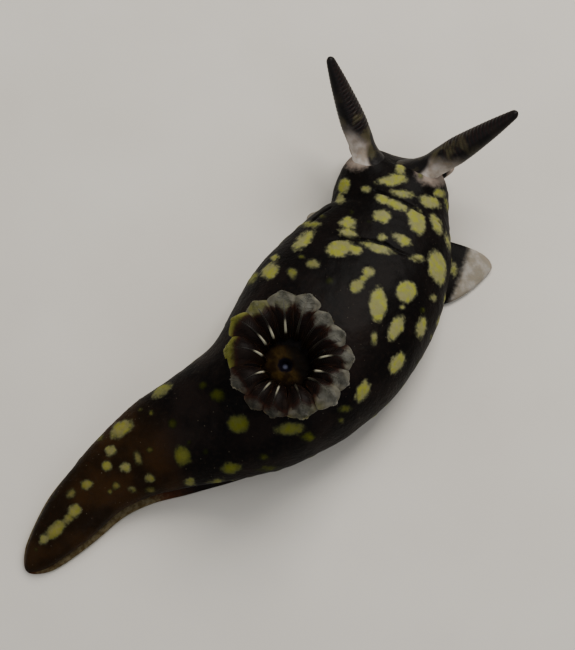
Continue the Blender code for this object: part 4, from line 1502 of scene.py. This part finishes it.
def plume_material():
    """The thin flesh of a gill plume: dark inside the cup, clear grey towards its outer tips.

    Dark pigment stops in a reddish edge, and grains of yellow-green lie in patches on the tips.
    The dark also holds painted shade: it reaches further out at each plume's edges, in the valleys
    between plumes, and further along the plumes that face away from the light, whose grey tips are
    darkened too.
    """
    made, tree, shader, (broad, patchy, fine), values = new_material(
        "clear_grey_gill_flesh",
        wet_flesh(0.50, gloss=0.09, clear=0.5, radii=(1.0, 0.9, 0.7), depth=0.20, film=(0.01, 0.2)),
        (0.9, 0.36, 0.06),
        ("outward", "leaf_tip", "dark_to", "valley_shade", "yellow", "pale"),
    )
    outward, tip, dark_to, valley_shade, yellow, pale = values
    # Painted shade: the dark reaches further out towards a plume's edges, where it meets its neighbours in a
    # valley.
    dark_to = add_node(tree, MATHS, {0: tip, 1: valley_shade, 2: dark_to}, operation="MULTIPLY_ADD")
    outer = add_node(tree, MATHS, {0: outward, 1: dark_to}, operation="SUBTRACT")
    outer = ragged(tree, outer, patchy, 0.12)
    dark = laid_over(tree, "0b0605", "170e0a", patchy)
    dark = laid_over(tree, "1b1108", dark, outward, 0.36, 0.52)
    grey = laid_over(tree, "3b3a33", "66645a", patchy, 0.30, 0.70)
    grey = laid_over(tree, grey, "63641f", ragged(tree, yellow, broad, 0.8), 0.50, 0.80, 0.85)
    # Painted shade: the grey tips are darkened on the plumes that face away from the light.
    grey = laid_over(tree, "14120d", grey, pale)
    colour = painted(tree, dark, ("20100a", outer, -0.08, -0.02), (grey, outer, -0.03, 0.08))
    finish_surface(tree, shader, colour, fine, 0.012)
    return made


def rachis_material():
    """The firm midrib of a plume, smooth and dark, with a painted highlight: a white streak along a stretch
    of it, dimmed on plumes that lie in shade.
    """
    made, tree, shader, (patchy, fine), values = new_material(
        "dark_gill_midrib_with_painted_highlight",
        wet_flesh(0.30, gloss=0.2, clear=0.5, radii=(1.0, 0.9, 0.7), depth=0.15, film=(0.05, 0.1), ior=1.40),
        (0.2, 0.05),
        ("reach", "outward", "dark_to", "painted_highlight", "highlight_at", "pale"),
    )
    reach, outward, dark_to, painted_highlight, highlight_at, pale = values
    along = ragged(tree, reach, patchy, 0.1)
    beyond = add_node(tree, MATHS, {0: along, 1: highlight_at}, operation="SUBTRACT")
    outer = add_node(tree, MATHS, {0: outward, 1: dark_to}, operation="SUBTRACT")
    colour = painted(
        tree,
        "130d07",
        # Painted highlight: the white streak that stands for light glinting on the midrib, dimmed on plumes
        # that lie in shade.
        ("a8a590", beyond, -0.15, -0.03, 1.0, painted_highlight),
        ("15110c", beyond, 0.03, 0.18),
        ("4f4d43", outer, -0.02, 0.10, 1.0, pale),
    )
    finish_surface(tree, shader, colour, fine, 0.006)
    return made


def papilla_material():
    """The olive-brown floor of the gill's cup, with painted shade on the side that the plumes nearest the
    light shade, and the opening in its middle, painted dark as painted shade with a painted glint at its
    centre.
    """
    made, tree, shader, (broad, patchy, fine), (from_middle, shaded_side) = new_material(
        "olive_brown_gill_floor",
        wet_flesh(0.60, gloss=0.03, clear=0.3, radii=(1.0, 0.6, 0.4), depth=0.12),
        (0.3, 0.2, 0.08),
        ("from_middle", "shaded_side"),
    )
    out = ragged(tree, from_middle, patchy, 0.12)
    colour = painted(
        tree,
        "1c1308",
        ("33260f", broad, 0.35, 0.65),
        # Painted shade in the pit of the pore.
        ("0a0810", out, 0.32, 0.22),
        # Painted highlight: a bluish glint at the middle of the pore.
        ("4a4c5e", from_middle, 0.13, 0.0),
        ("120b06", out, 0.50, 0.85),
        # Painted shade: the side of the floor that the plumes nearest the light shade.
        ("070504", shaded_side, 0.0, 1.0, 0.9),
    )
    finish_surface(tree, shader, colour, fine, 0.015)
    return made


def floor_material():
    """Matt pale plaster, a plain ground for the model."""
    settings = {"Roughness": 0.9, "IOR": 1.45}
    made, tree, shader, (broad, fine), _ = new_material("matt_pale_plaster", settings, (6.0, 0.8))
    finish_surface(tree, shader, laid_over(tree, *FLOOR_COLOURS, broad), fine, 0.01)
    return made


def add_floor():
    """The floor that the animal crawls on."""
    mesh = bpy.data.meshes.new("floor")
    reach = FLOOR_REACH * MM
    corners = [(-reach, -reach, 0.0), (reach, -reach, 0.0), (reach, reach, 0.0), (-reach, reach, 0.0)]
    mesh.from_pydata(corners, [], [(0, 1, 2, 3)])
    floor = add_piece("floor", mesh, floor_material())


def add_light(name, bearing, height, distance, size, power, colour):
    """A square soft light that faces the animal from a bearing and height in degrees."""
    lamp = bpy.data.lights.new(name, "AREA")
    lamp.shape = "SQUARE"
    lamp.size = size * MM
    lamp.energy = power
    lamp.color = srgb(colour)[:3]
    away = Vector(turned(ALONG_X, bearing, height))
    made = placed(name, lamp)
    made.location = away * distance * MM
    made.rotation_euler = away.to_track_quat("Z", "Y").to_euler()


def add_lights():
    """Soft studio light: a key from over the head, two fills, and pale light from all around."""
    for lamp in LIGHTS:
        add_light(*lamp)
    world = bpy.data.worlds.new("pale_studio")
    bpy.context.scene.world = world
    world.use_nodes = True
    sky = world.node_tree.nodes["Background"]
    sky.inputs["Color"].default_value = srgb(STUDIO_COLOUR)
    sky.inputs["Strength"].default_value = STUDIO_STRENGTH


def add_camera():
    """The camera, at the photograph's angle and scale."""
    lens = bpy.data.cameras.new("camera")
    lens.sensor_fit = "VERTICAL"
    lens.sensor_height = SENSOR_HEIGHT
    lens.lens = SENSOR_HEIGHT * PIXELS_PER_MM * CAMERA_DISTANCE / PHOTO_HEIGHT
    lens.clip_start = MM
    made = placed("camera", lens)
    made.location = camera_place() * MM
    made.rotation_euler = Vector(camera_axes()[0]).to_track_quat("-Z", "Y").to_euler()
    bpy.context.scene.camera = made


def finish_piece(piece, nodes):
    """Puts a piece in the frame: it rides on the one body and stands for its CAD nodes."""
    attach(piece, "root")
    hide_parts(*nodes)


def main():
    add_camera()
    add_lights()
    add_floor()
    finish_piece(make_skin(skin_material()), SKIN_NODES)
    flesh = rhinophore_material()
    for side in SIDES:
        finish_piece(make_rhinophore(side, flesh), ["rhinophore_" + side])
    plume = plume_material()
    finish_piece(plume_blades(plume), ["gill_crown"])
    finish_piece(plume_leaflets(plume), ["gill_crown"])
    finish_piece(plume_rachises(rachis_material()), ["gill_crown"])
    finish_piece(make_papilla(papilla_material()), ["anal_papilla"])


main()
